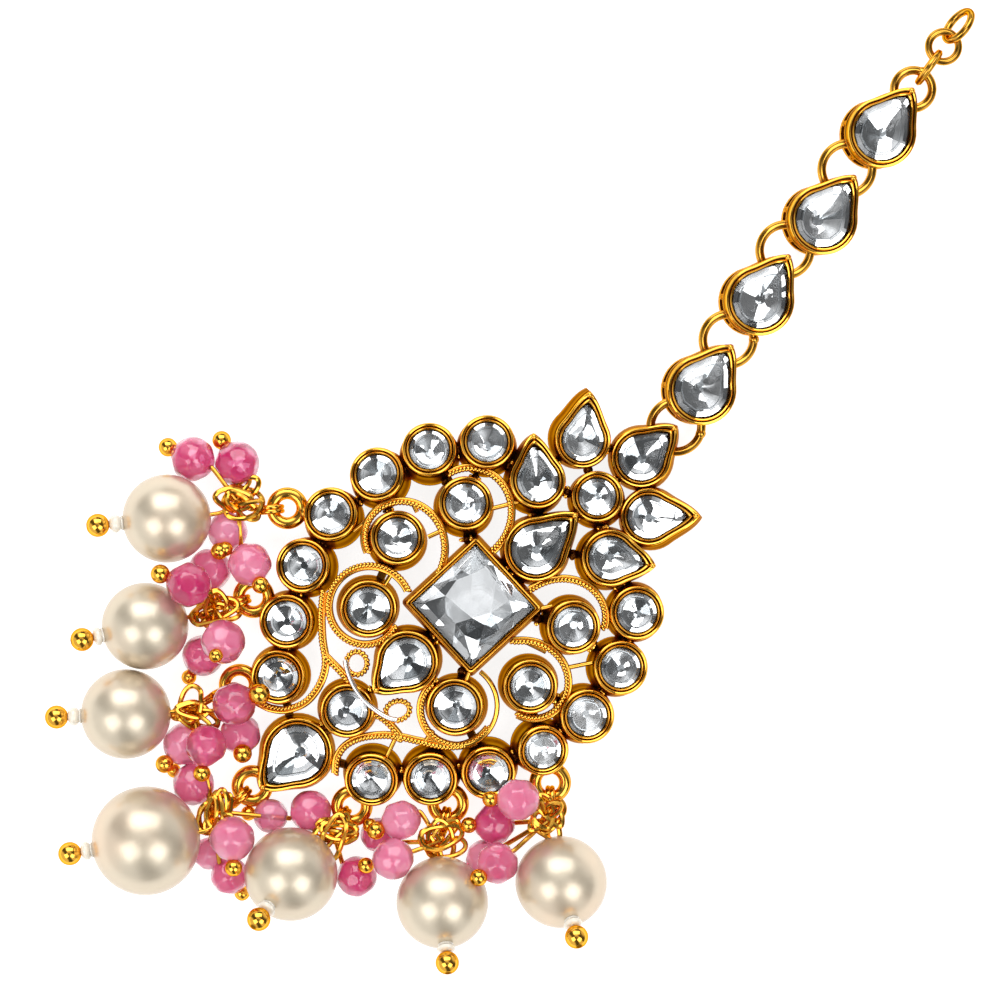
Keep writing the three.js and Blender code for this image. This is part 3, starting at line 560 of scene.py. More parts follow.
class Solid:
    """Mesh data gathered from many shapes, in layout millimetres."""

    def __init__(self) -> None:
        """Starts with no shape."""
        self._points: list[Array] = []
        self._faces: list[tuple[int, ...]] = []
        self._tone: list[Array] = []
        self._shade: list[Array] = []
        self._sectors: list[int] = []
        self._painted_facet_shades: list[float] = []
        self._count = 0

    def add(self, points: Array, faces: Iterable[Sequence[int]], tone: Array | float = 0.15,
            shade: float = 0.5, sectors: Sequence[int] | None = None,
            facets: Sequence[float] | None = None) -> None:
        """Adds a shape.

        Args:
            points: its points.
            faces: its faces as point numbers.
            tone: how much grime and painted shade sits on each point, 0 to 1.
            shade: one number for the whole shape, which its finish may vary with.
            sectors: a number for each face; an edge between two numbers stays sharp.
            facets: a painted shade for each face, which darkens a stone's foil as painted reflection.
        """
        start = self._count
        self._points.append(points)
        before = len(self._faces)
        self._faces.extend(tuple(int(i) + start for i in face) for face in faces)
        added = len(self._faces) - before
        self._sectors.extend(sectors if sectors is not None else [0] * added)
        self._painted_facet_shades.extend(facets if facets is not None else [0.0] * added)
        self._tone.append(np.broadcast_to(np.asarray(tone, float), (len(points),)))
        self._shade.append(np.full(len(points), shade))
        self._count += len(points)

    def loft(self, outline: Outline, rows: Sequence[tuple[float, float, float]], place: Matrix,
             caps: bool = True) -> None:
        """Adds a body through one outline at rows of (inset, z, grime and painted shade).

        Args:
            outline: the outline.
            rows: inset, height, and grime and painted shade of each ring, from the foot up.
            place: the body's frame.
            caps: whether both ends are closed.
        """
        rings = []
        tones = []
        for inset, z, tone in rows:
            ring = outline(inset)
            rings.append(np.column_stack([ring, np.full(len(ring), z)]))
            tones.append(np.full(len(ring), tone))
        sides = len(rings[0])
        faces = belts(len(rings), sides)
        if caps:
            faces.append(tuple(range(sides))[::-1])
            last = (len(rings) - 1) * sides
            faces.append(tuple(range(last, last + sides)))
        self.add(moved(np.concatenate(rings), place), faces, np.concatenate(tones))

    def sweep(self, path: Array, section: Array, closed: bool = False,
              tone: Array | float = 0.15) -> None:
        """Sweeps a closed section along a path.

        Args:
            path: the path's points.
            section: the section's points, to the side and up.
            closed: whether the path closes.
            tone: grime and painted shade, one number or one for each point of the section.
        """
        ahead = np.roll(path, -1, 0) - np.roll(path, 1, 0)
        if not closed:
            ahead[0] = path[1] - path[0]
            ahead[-1] = path[-1] - path[-2]
        ahead /= np.linalg.norm(ahead, axis=1)[:, None] + 1e-12
        side = np.cross(ahead, (0.0, 0.0, 1.0))
        weak = np.linalg.norm(side, axis=1) < 0.15
        if weak.any():
            side = self._carried(ahead)
        side /= np.linalg.norm(side, axis=1)[:, None] + 1e-12
        top = np.cross(side, ahead)
        points = (path[:, None, :] + side[:, None, :] * section[None, :, :1]
                  + top[:, None, :] * section[None, :, 1:])
        n, m = len(path), len(section)
        faces = belts(n, m, closed)
        if not closed:
            faces.append(tuple(range(m))[::-1])
            faces.append(tuple((n - 1) * m + k for k in range(m)))
        tones = np.tile(np.broadcast_to(np.asarray(tone, float), (m,)), n)
        self.add(points.reshape(-1, 3), faces, tones)

    @staticmethod
    def _carried(ahead: Array) -> Array:
        """Side directions carried along a path, for paths that run straight up somewhere.

        Args:
            ahead: the path's directions.

        Returns:
            A direction to the side for each point.
        """
        first = np.cross(ahead[0], (0.3, 0.2, 1.0))
        if np.linalg.norm(first) < 0.1:
            first = np.cross(ahead[0], (1.0, 0.1, 0.2))
        sides = [first / np.linalg.norm(first)]
        for direction in ahead[1:]:
            step = sides[-1] - direction * float(sides[-1] @ direction)
            sides.append(step / (np.linalg.norm(step) + 1e-12))
        return np.array(sides)

    def ball(self, centre: Sequence[float], radius: float, tone: float = 0.1,
             squash: Sequence[float] = (1, 1, 1), segments: int = 20) -> None:
        """Adds a round ball.

        Args:
            centre: its centre.
            radius: its radius.
            tone: its grime and painted shade.
            squash: share of the radius along each axis.
            segments: faces round it.
        """
        rings = segments // 2
        angle = np.arange(segments) * 2 * math.pi / segments
        points = [(0, 0, -1.0)]
        for row in range(1, rings):
            polar = math.pi * row / rings
            points.extend((math.sin(polar) * math.cos(a), math.sin(polar) * math.sin(a),
                           -math.cos(polar)) for a in angle)
        points.append((0, 0, 1.0))
        faces: list[Sequence[int]] = []
        last = len(points) - 1
        for i in range(segments):
            j = (i + 1) % segments
            faces.append((0, 1 + j, 1 + i))
            base = 1 + (rings - 2) * segments
            faces.append((last, base + i, base + j))
            for row in range(rings - 2):
                low = 1 + row * segments
                faces.append((low + i, low + j, low + segments + j, low + segments + i))
        cloud = np.array(points) * radius * np.array(squash) + np.array(centre)
        self.add(cloud, faces, tone)

    def take(self, made: bpy.types.Object, tone: float = 0.2) -> None:
        """Adds the evaluated mesh of an object, and removes the object.

        Args:
            made: the object with its node group.
            tone: its grime and painted shade, where its mesh holds none.
        """
        graph = bpy.context.evaluated_depsgraph_get()
        mesh = bpy.data.meshes.new_from_object(made.evaluated_get(graph))
        points = np.empty(len(mesh.vertices) * 3)
        mesh.vertices.foreach_get("co", points)
        held: Array | float = tone
        if "grime_and_shade" in mesh.attributes:
            held = np.empty(len(mesh.vertices))
            mesh.attributes["grime_and_shade"].data.foreach_get("value", held)
        self.add(points.reshape(-1, 3), [tuple(p.vertices) for p in mesh.polygons], held)
        bpy.data.meshes.remove(mesh)
        bpy.data.objects.remove(made)

    def build(self, name: str, material: bpy.types.Material, sharp: float | None = 38.0
              ) -> bpy.types.Object:
        """Makes the object in the part's frame.

        Args:
            name: the object's name.
            material: its finish.
            sharp: angle in degrees above which an edge stays sharp, or None for flat facets.

        Returns:
            The object, at the origin.
        """
        points = moved(np.concatenate(self._points), LAYOUT)
        mesh = bpy.data.meshes.new(name)
        mesh.from_pydata(points.tolist(), [], self._faces)
        # Per-point grime and painted shade, and each shape's colour-depth number.
        for title, values in (("grime_and_shade", self._tone), ("shade", self._shade)):
            layer = mesh.attributes.new(title, "FLOAT", "POINT")
            layer.data.foreach_set("value", np.concatenate(values).astype(np.float32))
        mesh.materials.append(material)
        mesh.polygons.foreach_set("use_smooth", [sharp is not None] * len(mesh.polygons))
        mesh.update()
        if sharp is not None:
            mesh.set_sharp_from_angle(angle=math.radians(sharp))
        if any(self._sectors):
            self._part(mesh)
            # Each face's painted shade, which the foil finish uses as painted reflection.
            layer = mesh.attributes.new("painted_facet_shade", "FLOAT", "FACE")
            layer.data.foreach_set("value", np.array(self._painted_facet_shades, np.float32))
        made = bpy.data.objects.new(name, mesh)
        bpy.context.scene.collection.objects.link(made)
        return made

    def _part(self, mesh: bpy.types.Mesh) -> None:
        """Marks the edges between two sectors sharp.

        Args:
            mesh: this solid's mesh.
        """
        owner: dict[tuple[int, int], int] = {}
        parted = set()
        for face, sector in zip(self._faces, self._sectors):
            for a, b in zip(face, (*face[1:], face[0])):
                key = (min(a, b), max(a, b))
                if owner.setdefault(key, sector) != sector:
                    parted.add(key)
        for edge in mesh.edges:
            if tuple(sorted(edge.vertices)) in parted:
                edge.use_edge_sharp = True


def circle_section(radius: float, sides: int = 10) -> Array:
    """Round wire's section."""
    angle = np.arange(sides) * 2 * math.pi / sides
    return np.stack([np.cos(angle), np.sin(angle)], 1) * radius


def grooved_section(radius: float, grooves: Sequence[float], depth: float = 0.2,
                    sides: int = 24) -> tuple[Array, Array]:
    """Wire's section with grooves at some angles, and the grime and painted shade that sit in them.

    Args:
        radius: the wire's radius.
        grooves: the grooves' angles in degrees.
        depth: their depth as a share of the radius.
        sides: points of the section.

    Returns:
        The section's points and the grime and painted shade at each.
    """
    angle = np.arange(sides) * 2 * math.pi / sides
    cut = np.zeros(sides)
    for degrees in grooves:
        off = (angle - math.radians(degrees) + math.pi) % (2 * math.pi) - math.pi
        cut = np.maximum(cut, np.exp(-(off / 0.26) ** 2))
    reach = radius * (1 - depth * cut)
    return np.stack([np.cos(angle), np.sin(angle)], 1) * reach[:, None], 0.1 + 0.8 * cut


def ring_path(radius: float, place: Matrix, steps: int = 48, squash: float = 1.0) -> Array:
    """Points of a circle in a frame's xy plane, with its height as a share of its width."""
    flat = circle_section(radius, steps) * (1.0, squash)
    return moved(np.column_stack([flat, np.zeros(steps)]), place)


def smooth_path(points: Array, per_span: int = 6) -> Array:
    """Catmull-Rom curve through some points.

    Args:
        points: the points.
        per_span: steps from one point to the next.

    Returns:
        The curve's points.
    """
    padded = np.concatenate([2 * points[:1] - points[1:2], points, 2 * points[-1:] - points[-2:-1]])
    curve = []
    for i in range(1, len(padded) - 2):
        p0, p1, p2, p3 = padded[i - 1:i + 3]
        for t in np.arange(per_span) / per_span:
            curve.append(0.5 * (2 * p1 + (p2 - p0) * t + (2 * p0 - 5 * p1 + 4 * p2 - p3) * t * t
                                + (3 * p1 - p0 - 3 * p2 + p3) * t ** 3))
    curve.append(points[-1])
    return np.array(curve)


# Node graphs


class Value:
    """A socket that sums like a number."""

    def __init__(self, graph: "Graph", socket: bpy.types.NodeSocket) -> None:
        """Wraps an output socket of a graph."""
        self.graph = graph
        self.socket = socket

    def _math(self, operation: str, *others: "Value | float") -> "Value":
        """Adds a Math node on this value."""
        node = self.graph.node("ShaderNodeMath", {"operation": operation}, [self, *others])
        return self.graph.out(node)

    def __add__(self, other: "Value | float") -> "Value":
        """Sum."""
        return self._math("ADD", other)

    def __radd__(self, other: float) -> "Value":
        """Sum with a number on the left."""
        return self._math("ADD", other)

    def __sub__(self, other: "Value | float") -> "Value":
        """Difference."""
        return self._math("SUBTRACT", other)

    def __rsub__(self, other: float) -> "Value":
        """Difference from a number."""
        return (self * -1.0) + other

    def __mul__(self, other: "Value | float") -> "Value":
        """Product."""
        return self._math("MULTIPLY", other)

    def __rmul__(self, other: float) -> "Value":
        """Product with a number on the left."""
        return self._math("MULTIPLY", other)

    def __truediv__(self, other: "Value | float") -> "Value":
        """Quotient."""
        return self._math("DIVIDE", other)

    def __pow__(self, other: "Value | float") -> "Value":
        """Power."""
        return self._math("POWER", other)

    def clamp(self, low: float = 0.0, high: float = 1.0) -> "Value":
        """This value kept between two numbers."""
        return self._math("MAXIMUM", low)._math("MINIMUM", high)

    def sine(self) -> "Value":
        """Sine of this value."""
        return self._math("SINE")

    def cosine(self) -> "Value":
        """Cosine of this value."""
        return self._math("COSINE")

    def span(self, low: float, high: float) -> "Value":
        """0 to 1 as this value runs from low to high."""
        return ((self - low) / (high - low)).clamp()


Fed = Value | bpy.types.NodeSocket | bpy.types.Material | Sequence[float] | float | str


class Graph:
    """A node tree that is being written, for a shader or for geometry."""

    def __init__(self, tree: bpy.types.NodeTree) -> None:
        """Takes the tree to write in."""
        self.tree = tree

    def node(self, kind: str, settings: dict | None = None,
             values: dict | Sequence | None = None) -> bpy.types.Node:
        """Adds a node.

        Args:
            kind: the node's type.
            settings: its properties.
            values: its inputs by name or in order, each a number, a vector or a socket.

        Returns:
            The node.
        """
        made = self.tree.nodes.new(kind)
        for key, setting in (settings or {}).items():
            setattr(made, key, setting)
        pairs = values.items() if isinstance(values, dict) else enumerate(values or ())
        for key, value in pairs:
            self.feed(made.inputs[key], value)
        return made

    def feed(self, socket: bpy.types.NodeSocket, value: Fed) -> None:
        """Links or sets one input.

        Args:
            socket: the input.
            value: a value, a socket or a constant.
        """
        if isinstance(value, Value):
            value = value.socket
        if isinstance(value, bpy.types.NodeSocket):
            self.tree.links.new(value, socket)
        else:
            socket.default_value = value

    def out(self, node: bpy.types.Node, key: str | int = 0) -> Value:
        """An output of a node as a value."""
        return Value(self, node.outputs[key])

    def mix(self, share: Value | float, a: Fed, b: Fed) -> Value:
        """Colour between two colours."""
        node = self.node("ShaderNodeMix", {"data_type": "RGBA"}, {0: share, 6: a, 7: b})
        return self.out(node, 2)

    def vector(self, operation: str, *values: Fed) -> Value:
        """Vector maths."""
        return self.out(self.node("ShaderNodeVectorMath", {"operation": operation}, list(values)))


# Finishes


@dataclass(frozen=True)
class Finish:
    """A procedural finish.

    Args:
        name: the material's name.
        colour: its main colour.
        roughness: its roughness.
    """

    name: str
    colour: tuple[float, float, float]
    roughness: float = 0.3

    def build(self) -> bpy.types.Material:
        """Makes the material.

        Returns:
            The material.
        """
        material = bpy.data.materials.new(self.name)
        material.use_nodes = True
        material.node_tree.nodes.clear()
        graph = Graph(material.node_tree)
        shader = graph.node("ShaderNodeBsdfPrincipled", None, {"Roughness": self.roughness})
        graph.feed(shader.inputs["Base Color"], (*self.colour, 1))
        self.dress(graph, shader)
        end = graph.node("ShaderNodeOutputMaterial")
        graph.feed(end.inputs["Surface"], shader.outputs[0])
        material.diffuse_color = (*self.colour, 1)
        return material

    def dress(self, graph: Graph, shader: bpy.types.Node) -> None:
        """Feeds what this finish varies.

        Args:
            graph: the material's graph.
            shader: its shader.
        """

    @staticmethod
    def hold(shader: bpy.types.Node, **levels: float | tuple[float, ...]) -> None:
        """Sets the sockets that stay the same all over, by their names with low lines for spaces."""
        for name, level in levels.items():
            shader.inputs[name.replace("_", " ")].default_value = level

    @staticmethod
    def noise(graph: Graph, scale: float, detail: float = 2.0) -> Value:
        """Noise over the object.

        Args:
            graph: the material's graph.
            scale: features in a metre.
            detail: its octaves.

        Returns:
            A value about 0.5.
        """
        where = graph.node("ShaderNodeTexCoord").outputs["Object"]
        return graph.out(graph.node("ShaderNodeTexNoise", None,
                                    {"Vector": where, "Scale": scale, "Detail": detail}))

    @staticmethod
    def attribute(graph: Graph, name: str) -> Value:
        """A number stored on the mesh."""
        node = graph.node("ShaderNodeAttribute", {"attribute_name": name})
        return graph.out(node, "Fac")

    @staticmethod
    def bump(graph: Graph, shader: bpy.types.Node, height: Value, strength: float,
             depth: float) -> None:
        """Bumps a shader.

        Args:
            graph: the material's graph.
            shader: its shader.
            height: the height, 0 to 1.
            strength: how strongly it shows.
            depth: metres that a height of 1 stands for.
        """
        node = graph.node("ShaderNodeBump", None,
                          {"Strength": strength, "Distance": depth, "Height": height})
        graph.feed(shader.inputs["Normal"], node.outputs[0])


@dataclass(frozen=True)
class GoldFinish(Finish):
    """Gold-tone metal with brown grime and painted shade: the same darkening marks dirt in its grooves
    and paints the shade of hollows, recesses and bands down its walls.

    Args:
        grime_and_shade: the colour of the grime and of the painted shade.
        deep: the metal's colour where it is worn warmer.
        edge: its colour at a low angle.
        worn: roughness that full grime and painted shade adds.
    """

    grime_and_shade: tuple[float, float, float] = (0.07, 0.020, 0.004)
    deep: tuple[float, float, float] = (0.66, 0.30, 0.03)
    edge: tuple[float, float, float] = (0.9, 0.48, 0.14)
    worn: float = 0.3

    def dress(self, graph: Graph, shader: bpy.types.Node) -> None:
        """Feeds grime and painted shade, clouds of tone and a fine bump.

        Args:
            graph: the material's graph.
            shader: its shader.
        """
        dirt_and_shade = self.attribute(graph, "grime_and_shade")
        cloud = self.noise(graph, 700.0, 3.0)
        fine = self.noise(graph, 3600.0, 2.0)
        # The per-point mask is partly real grime and partly painted shade; it darkens the metal towards
        # the brown colour.
        held = ((dirt_and_shade + (cloud - 0.5) * 0.3 * dirt_and_shade) * 1.1).clamp()
        warm = graph.mix(cloud.span(0.5, 0.85) * 0.5, (*self.colour, 1), (*self.deep, 1))
        graph.feed(shader.inputs["Base Color"], graph.mix(held, warm, (*self.grime_and_shade, 1)))
        rough = (self.roughness + self.worn * held + 0.05 * (fine - 0.5)).clamp(0.05, 0.8)
        graph.feed(shader.inputs["Roughness"], rough)
        self.hold(shader, Metallic=1.0, Specular_Tint=(*self.edge, 1))
        self.bump(graph, shader, cloud * 0.8 + fine * 0.2, 0.12, 0.00008)


@dataclass(frozen=True)
class FoilFinish(Finish):
    """Silvered backing of a stone, each facet painted brighter or darker: painted reflection of the light
    and dark surroundings that each facet would mirror.

    Args:
        dark: the colour of the most darkly painted facet.
    """

    dark: tuple[float, float, float] = (0.20, 0.23, 0.25)

    def dress(self, graph: Graph, shader: bpy.types.Node) -> None:
        """Feeds each facet's painted shade, with a little random cloud.

        Args:
            graph: the material's graph.
            shader: its shader.
        """
        painted_facet_shade = self.attribute(graph, "painted_facet_shade")
        cloud = self.noise(graph, 900.0, 1.0)
        tone = (painted_facet_shade + (cloud - 0.5) * 0.25).clamp()
        graph.feed(shader.inputs["Base Color"], graph.mix(tone, (*self.colour, 1), (*self.dark, 1)))
        self.hold(shader, Metallic=1.0)


@dataclass(frozen=True)
class GlassFinish(Finish):
    """Clear stone.

    Args:
        ior: how strongly it bends light.
    """

    ior: float = 1.52

    def dress(self, graph: Graph, shader: bpy.types.Node) -> None:
        """Makes the stone clear."""
        self.hold(shader, Transmission_Weight=1.0, IOR=self.ior)


@dataclass(frozen=True)
class PearlFinish(Finish):
    """Cream pearl with a peach sheen.

    Args:
        blush: colour of its warmer clouds.
        edge: its sheen's colour at a low angle.
        sheen: how much of it shines like metal.
    """

    blush: tuple[float, float, float] = (0.95, 0.66, 0.46)
    edge: tuple[float, float, float] = (0.52, 0.34, 0.14)
    sheen: float = 0.6

    def dress(self, graph: Graph, shader: bpy.types.Node) -> None:
        """Feeds soft clouds of blush under a clear coat.

        Args:
            graph: the material's graph.
            shader: its shader.
        """
        cloud = self.noise(graph, 160.0, 2.0)
        fine = self.noise(graph, 1500.0, 3.0)
        tint = graph.mix(cloud.span(0.45, 0.8) * 0.35, (*self.colour, 1), (*self.blush, 1))
        graph.feed(shader.inputs["Base Color"], tint)
        graph.feed(shader.inputs["Roughness"], (self.roughness + 0.08 * (fine - 0.5)).clamp())
        self.hold(shader, Metallic=self.sheen, Specular_Tint=(*self.edge, 1), Coat_Weight=1.0,
                  Coat_Roughness=0.22, Coat_IOR=1.55)
        self.bump(graph, shader, fine, 0.08, 0.00005)


@dataclass(frozen=True)
class QuartzFinish(Finish):
    """Cloudy pink stone, from pale to deep by bead.

    Args:
        pale: the palest bead's colour.
        deep: the deepest bead's colour.
        clear: how much light passes through.
    """

    pale: tuple[float, float, float] = (0.94, 0.42, 0.58)
    deep: tuple[float, float, float] = (0.66, 0.04, 0.18)
    clear: float = 0.55

    def dress(self, graph: Graph, shader: bpy.types.Node) -> None:
        """Feeds each bead's tint and its clouds.

        Args:
            graph: the material's graph.
            shader: its shader.
        """
        shade = self.attribute(graph, "shade")
        cloud = self.noise(graph, 420.0, 3.0)
        fine = self.noise(graph, 2400.0, 2.0)
        amount = (shade + (cloud - 0.5) * 0.9).clamp()
        middle = graph.mix((amount * 2.0).clamp(), (*self.pale, 1), (*self.colour, 1))
        tint = graph.mix((amount * 2.0 - 1.0).clamp(), middle, (*self.deep, 1))
        graph.feed(shader.inputs["Base Color"], tint)
        graph.feed(shader.inputs["Roughness"], (self.roughness + 0.1 * (fine - 0.5)).clamp())
        self.hold(shader, Transmission_Weight=self.clear, IOR=1.48, Subsurface_Weight=0.6,
                  Subsurface_Radius=(1.0, 0.4, 0.55), Subsurface_Scale=0.002, Coat_Weight=1.0,
                  Coat_Roughness=0.02, Coat_IOR=1.5, Specular_IOR_Level=0.25)
        self.bump(graph, shader, cloud, 0.1, 0.0002)


@dataclass(frozen=True)
class SeedFinish(Finish):
    """White glass seed bead."""

    def dress(self, graph: Graph, shader: bpy.types.Node) -> None:
        """Lets light into the bead under a clear coat.

        Args:
            graph: the material's graph.
            shader: its shader.
        """
        self.hold(shader, Subsurface_Weight=0.4, Subsurface_Radius=(1.0, 0.9, 0.8),
                  Subsurface_Scale=0.0008, Coat_Weight=1.0)
        cloud = self.noise(graph, 800.0)
        graph.feed(shader.inputs["Roughness"], (self.roughness + 0.1 * (cloud - 0.5)).clamp())


@dataclass(frozen=True)
class FloorFinish(Finish):
    """White floor with a little light of its own, as a light table has.

    Args:
        glow: how strongly it glows.
    """

    glow: float = 0.88

    def dress(self, graph: Graph, shader: bpy.types.Node) -> None:
        """Lights the floor."""
        self.hold(shader, Emission_Color=(1.0, 0.995, 0.985, 1), Emission_Strength=self.glow)


@dataclass(frozen=True)
class HighlightWireFinish(Finish):
    """Wire whose near-white metal colour is a painted highlight: the highlight along a polished wire,
    painted as pale metal.

    Args:
        dull: its colour under grime and painted shade.
    """

    dull: tuple[float, float, float] = (0.3, 0.2, 0.12)

    def dress(self, graph: Graph, shader: bpy.types.Node) -> None:
        """Feeds the grime and painted shade of the wire.

        Args:
            graph: the material's graph.
            shader: its shader.
        """
        dirt_and_shade = self.attribute(graph, "grime_and_shade").span(0.2, 1.0)
        graph.feed(shader.inputs["Base Color"], graph.mix(dirt_and_shade, (*self.colour, 1), (*self.dull, 1)))
        self.hold(shader, Metallic=1.0)


# Geometry nodes


class NodeShape:
    """A shape made by a geometry node group, with named inputs."""

    def __init__(self, name: str) -> None:
        """Makes the group with its geometry in and out.

        Args:
            name: the group's name.
        """
        self.tree = bpy.data.node_groups.new(name, "GeometryNodeTree")
        self.graph = Graph(self.tree)
        self.tree.interface.new_socket("Geometry", in_out="INPUT", socket_type="NodeSocketGeometry")
        self.tree.interface.new_socket("Geometry", in_out="OUTPUT", socket_type="NodeSocketGeometry")
        self._ids: dict[str, str] = {}
        self.inputs: bpy.types.Node | None = None

    def number(self, name: str, value: float, kind: str = "NodeSocketFloat") -> None:
        """Declares a named input.

        Args:
            name: its name.
            value: what it holds at first.
            kind: its socket's type.
        """
        socket = self.tree.interface.new_socket(name, in_out="INPUT", socket_type=kind)
        socket.default_value = value
        self._ids[name] = socket.identifier

    def start(self) -> None:
        """Makes the group's input node once all inputs are declared."""
        self.inputs = self.graph.node("NodeGroupInput")

    def given(self, name: str) -> Value:
        """A named input as a value."""
        return self.graph.out(self.inputs, name)

    def end(self, geometry: bpy.types.NodeSocket, material: bpy.types.Material) -> None:
        """Ends the group with real, dressed geometry.

        Args:
            geometry: the shape.
            material: its finish.
        """
        real = self.graph.node("GeometryNodeRealizeInstances", None, [geometry])
        dressed = self.graph.node("GeometryNodeSetMaterial", None,
                                  {"Geometry": real.outputs[0], "Material": material})
        self.graph.node("NodeGroupOutput", None, [dressed.outputs[0]])

    def with_grime_and_shade(self, geometry: bpy.types.NodeSocket, amount: float) -> bpy.types.NodeSocket:
        """Geometry with its grime and painted shade stored on its points.

        Args:
            geometry: the shape.
            amount: its grime and painted shade.

        Returns:
            The shape with its grime and painted shade.
        """
        node = self.graph.node("GeometryNodeStoreNamedAttribute",
                               {"data_type": "FLOAT", "domain": "POINT"},
                               {"Geometry": geometry, "Name": "grime_and_shade", "Value": amount})
        return node.outputs[0]

    def apply(self, points: Array, values: dict, closed: bool = False) -> bpy.types.Object:
        """An object whose points run in a line, with this group on it.

        Args:
            points: the line's points.
            values: inputs by name.
            closed: whether the line closes.

        Returns:
            The object, for Solid.take.
        """
        mesh = bpy.data.meshes.new(self.tree.name)
        count = len(points)
        edges = [(i, i + 1) for i in range(count - 1)] + ([(count - 1, 0)] if closed else [])
        mesh.from_pydata([tuple(p) for p in points], edges, [])
        made = bpy.data.objects.new(self.tree.name, mesh)
        bpy.context.scene.collection.objects.link(made)
        modifier = made.modifiers.new("shape", "NODES")
        modifier.node_group = self.tree
        for name, value in values.items():
            modifier[self._ids[name]] = value
        return made


class RopeEdge(NodeShape):
    """Twisted wire along a line: slanted grains on a thin core."""

    def __init__(self, material: bpy.types.Material) -> None:
        """Builds the group: grains along the line, each turned and slanted, on a core.

        Args:
            material: the wire's finish.
        """
        super().__init__("Rope edge")
        self.number("Radius", 0.2)
        self.number("Pitch", 0.3)
        self.number("Slant", 0.6)
        self.number("Stretch", 1.5)
        self.start()
        graph = self.graph
        line = graph.node("GeometryNodeMeshToCurve", None, [self.inputs.outputs["Geometry"]])
        spots = graph.node("GeometryNodeCurveToPoints", {"mode": "LENGTH"},
                           {"Curve": line.outputs[0], "Length": self.given("Pitch")})
        grain = graph.node("GeometryNodeMeshIcoSphere", None,
                           {"Subdivisions": 2, "Radius": self.given("Radius")})
        aligned = graph.node("FunctionNodeAlignRotationToVector", {"axis": "Z"},
                             {"Vector": spots.outputs["Tangent"]})
        slant = graph.node("ShaderNodeCombineXYZ", None, {"Z": self.given("Slant")})
        turn = graph.node("FunctionNodeEulerToRotation", None, [slant.outputs[0]])
        turned = graph.node("FunctionNodeRotateRotation", {"rotation_space": "GLOBAL"},
                            [aligned.outputs[0], turn.outputs[0]])
        size = graph.node("ShaderNodeCombineXYZ", None, {"X": 1.0, "Y": 1.0, "Z": self.given("Stretch")})
        grains = graph.node("GeometryNodeInstanceOnPoints", None, {
            "Points": spots.outputs["Points"], "Instance": self.with_grime_and_shade(grain.outputs["Mesh"], 0.02),
            "Rotation": turned.outputs[0], "Scale": size.outputs[0]})
        profile = graph.node("GeometryNodeCurvePrimitiveCircle", None,
                             {"Resolution": 8, "Radius": self.given("Radius") * 0.88})
        core = graph.node("GeometryNodeCurveToMesh", None, [line.outputs[0], profile.outputs[0]])
        joined = graph.node("GeometryNodeJoinGeometry")
        # The core takes nearly full grime and painted shade, so the gaps between the grains read dark:
        # partly grime, partly painted shade. The grains stay almost clean.
        self.tree.links.new(self.with_grime_and_shade(core.outputs[0], 0.95), joined.inputs[0])
        self.tree.links.new(grains.outputs[0], joined.inputs[0])
        self.end(joined.outputs[0], material)


class DomeScroll(NodeShape):
    """Scroll whose radius runs by a power of its angle, draped over the plate's dome."""

    def __init__(self, material: bpy.types.Material) -> None:
        """Builds the group: a strip along a spiral, dropped from the dome.

        Args:
            material: the wire's finish.
        """
        super().__init__("Dome scroll")
        for name, value in (("Centre X", 0.0), ("Centre Y", 0.0), ("First angle", 0.0),
                            ("Last angle", 3.0), ("First radius", 3.0), ("Last radius", 5.0),
                            ("Bend", 1.0), ("Crown", PLATE_CROWN), ("Dome radius", DOME_R),
                            ("Drop", SCROLL_DROP), ("Width", 0.5), ("Depth", 1.2)):
            self.number(name, value)
        self.number("Steps", 48, "NodeSocketInt")
        self.start()
        graph = self.graph
        line = graph.node("GeometryNodeMeshLine", None, {"Count": self.given("Steps")})
        index = graph.out(graph.node("GeometryNodeInputIndex"))
        share = index / (self.given("Steps") - 1.0)
        first, last = self.given("First radius"), self.given("Last radius")
        radius = first + (last - first) * share ** self.given("Bend")
        angle = self.given("First angle") + (self.given("Last angle") - self.given("First angle")) * share
        x = self.given("Centre X") + radius * angle.cosine()
        y = self.given("Centre Y") + radius * angle.sine()
        z = (self.given("Crown") - (x * x + y * y) / (self.given("Dome radius") * 2.0)
             - self.given("Drop") - self.given("Depth") * 0.5)
        spot = graph.node("ShaderNodeCombineXYZ", None, [x, y, z])
        placed = graph.node("GeometryNodeSetPosition", None, {
            "Geometry": line.outputs[0], "Position": spot.outputs[0]})
        curve = graph.node("GeometryNodeMeshToCurve", None, [placed.outputs[0]])
        upright = graph.node("GeometryNodeSetCurveNormal", {"mode": "Z_UP"}, [curve.outputs[0]])
        profile = graph.node("GeometryNodeCurvePrimitiveQuadrilateral", None,
                             {"Width": self.given("Width"), "Height": self.given("Depth")})
        strip = graph.node("GeometryNodeCurveToMesh", None, {
            "Curve": upright.outputs[0], "Profile Curve": profile.outputs[0], "Fill Caps": True})
        self.end(strip.outputs[0], material)


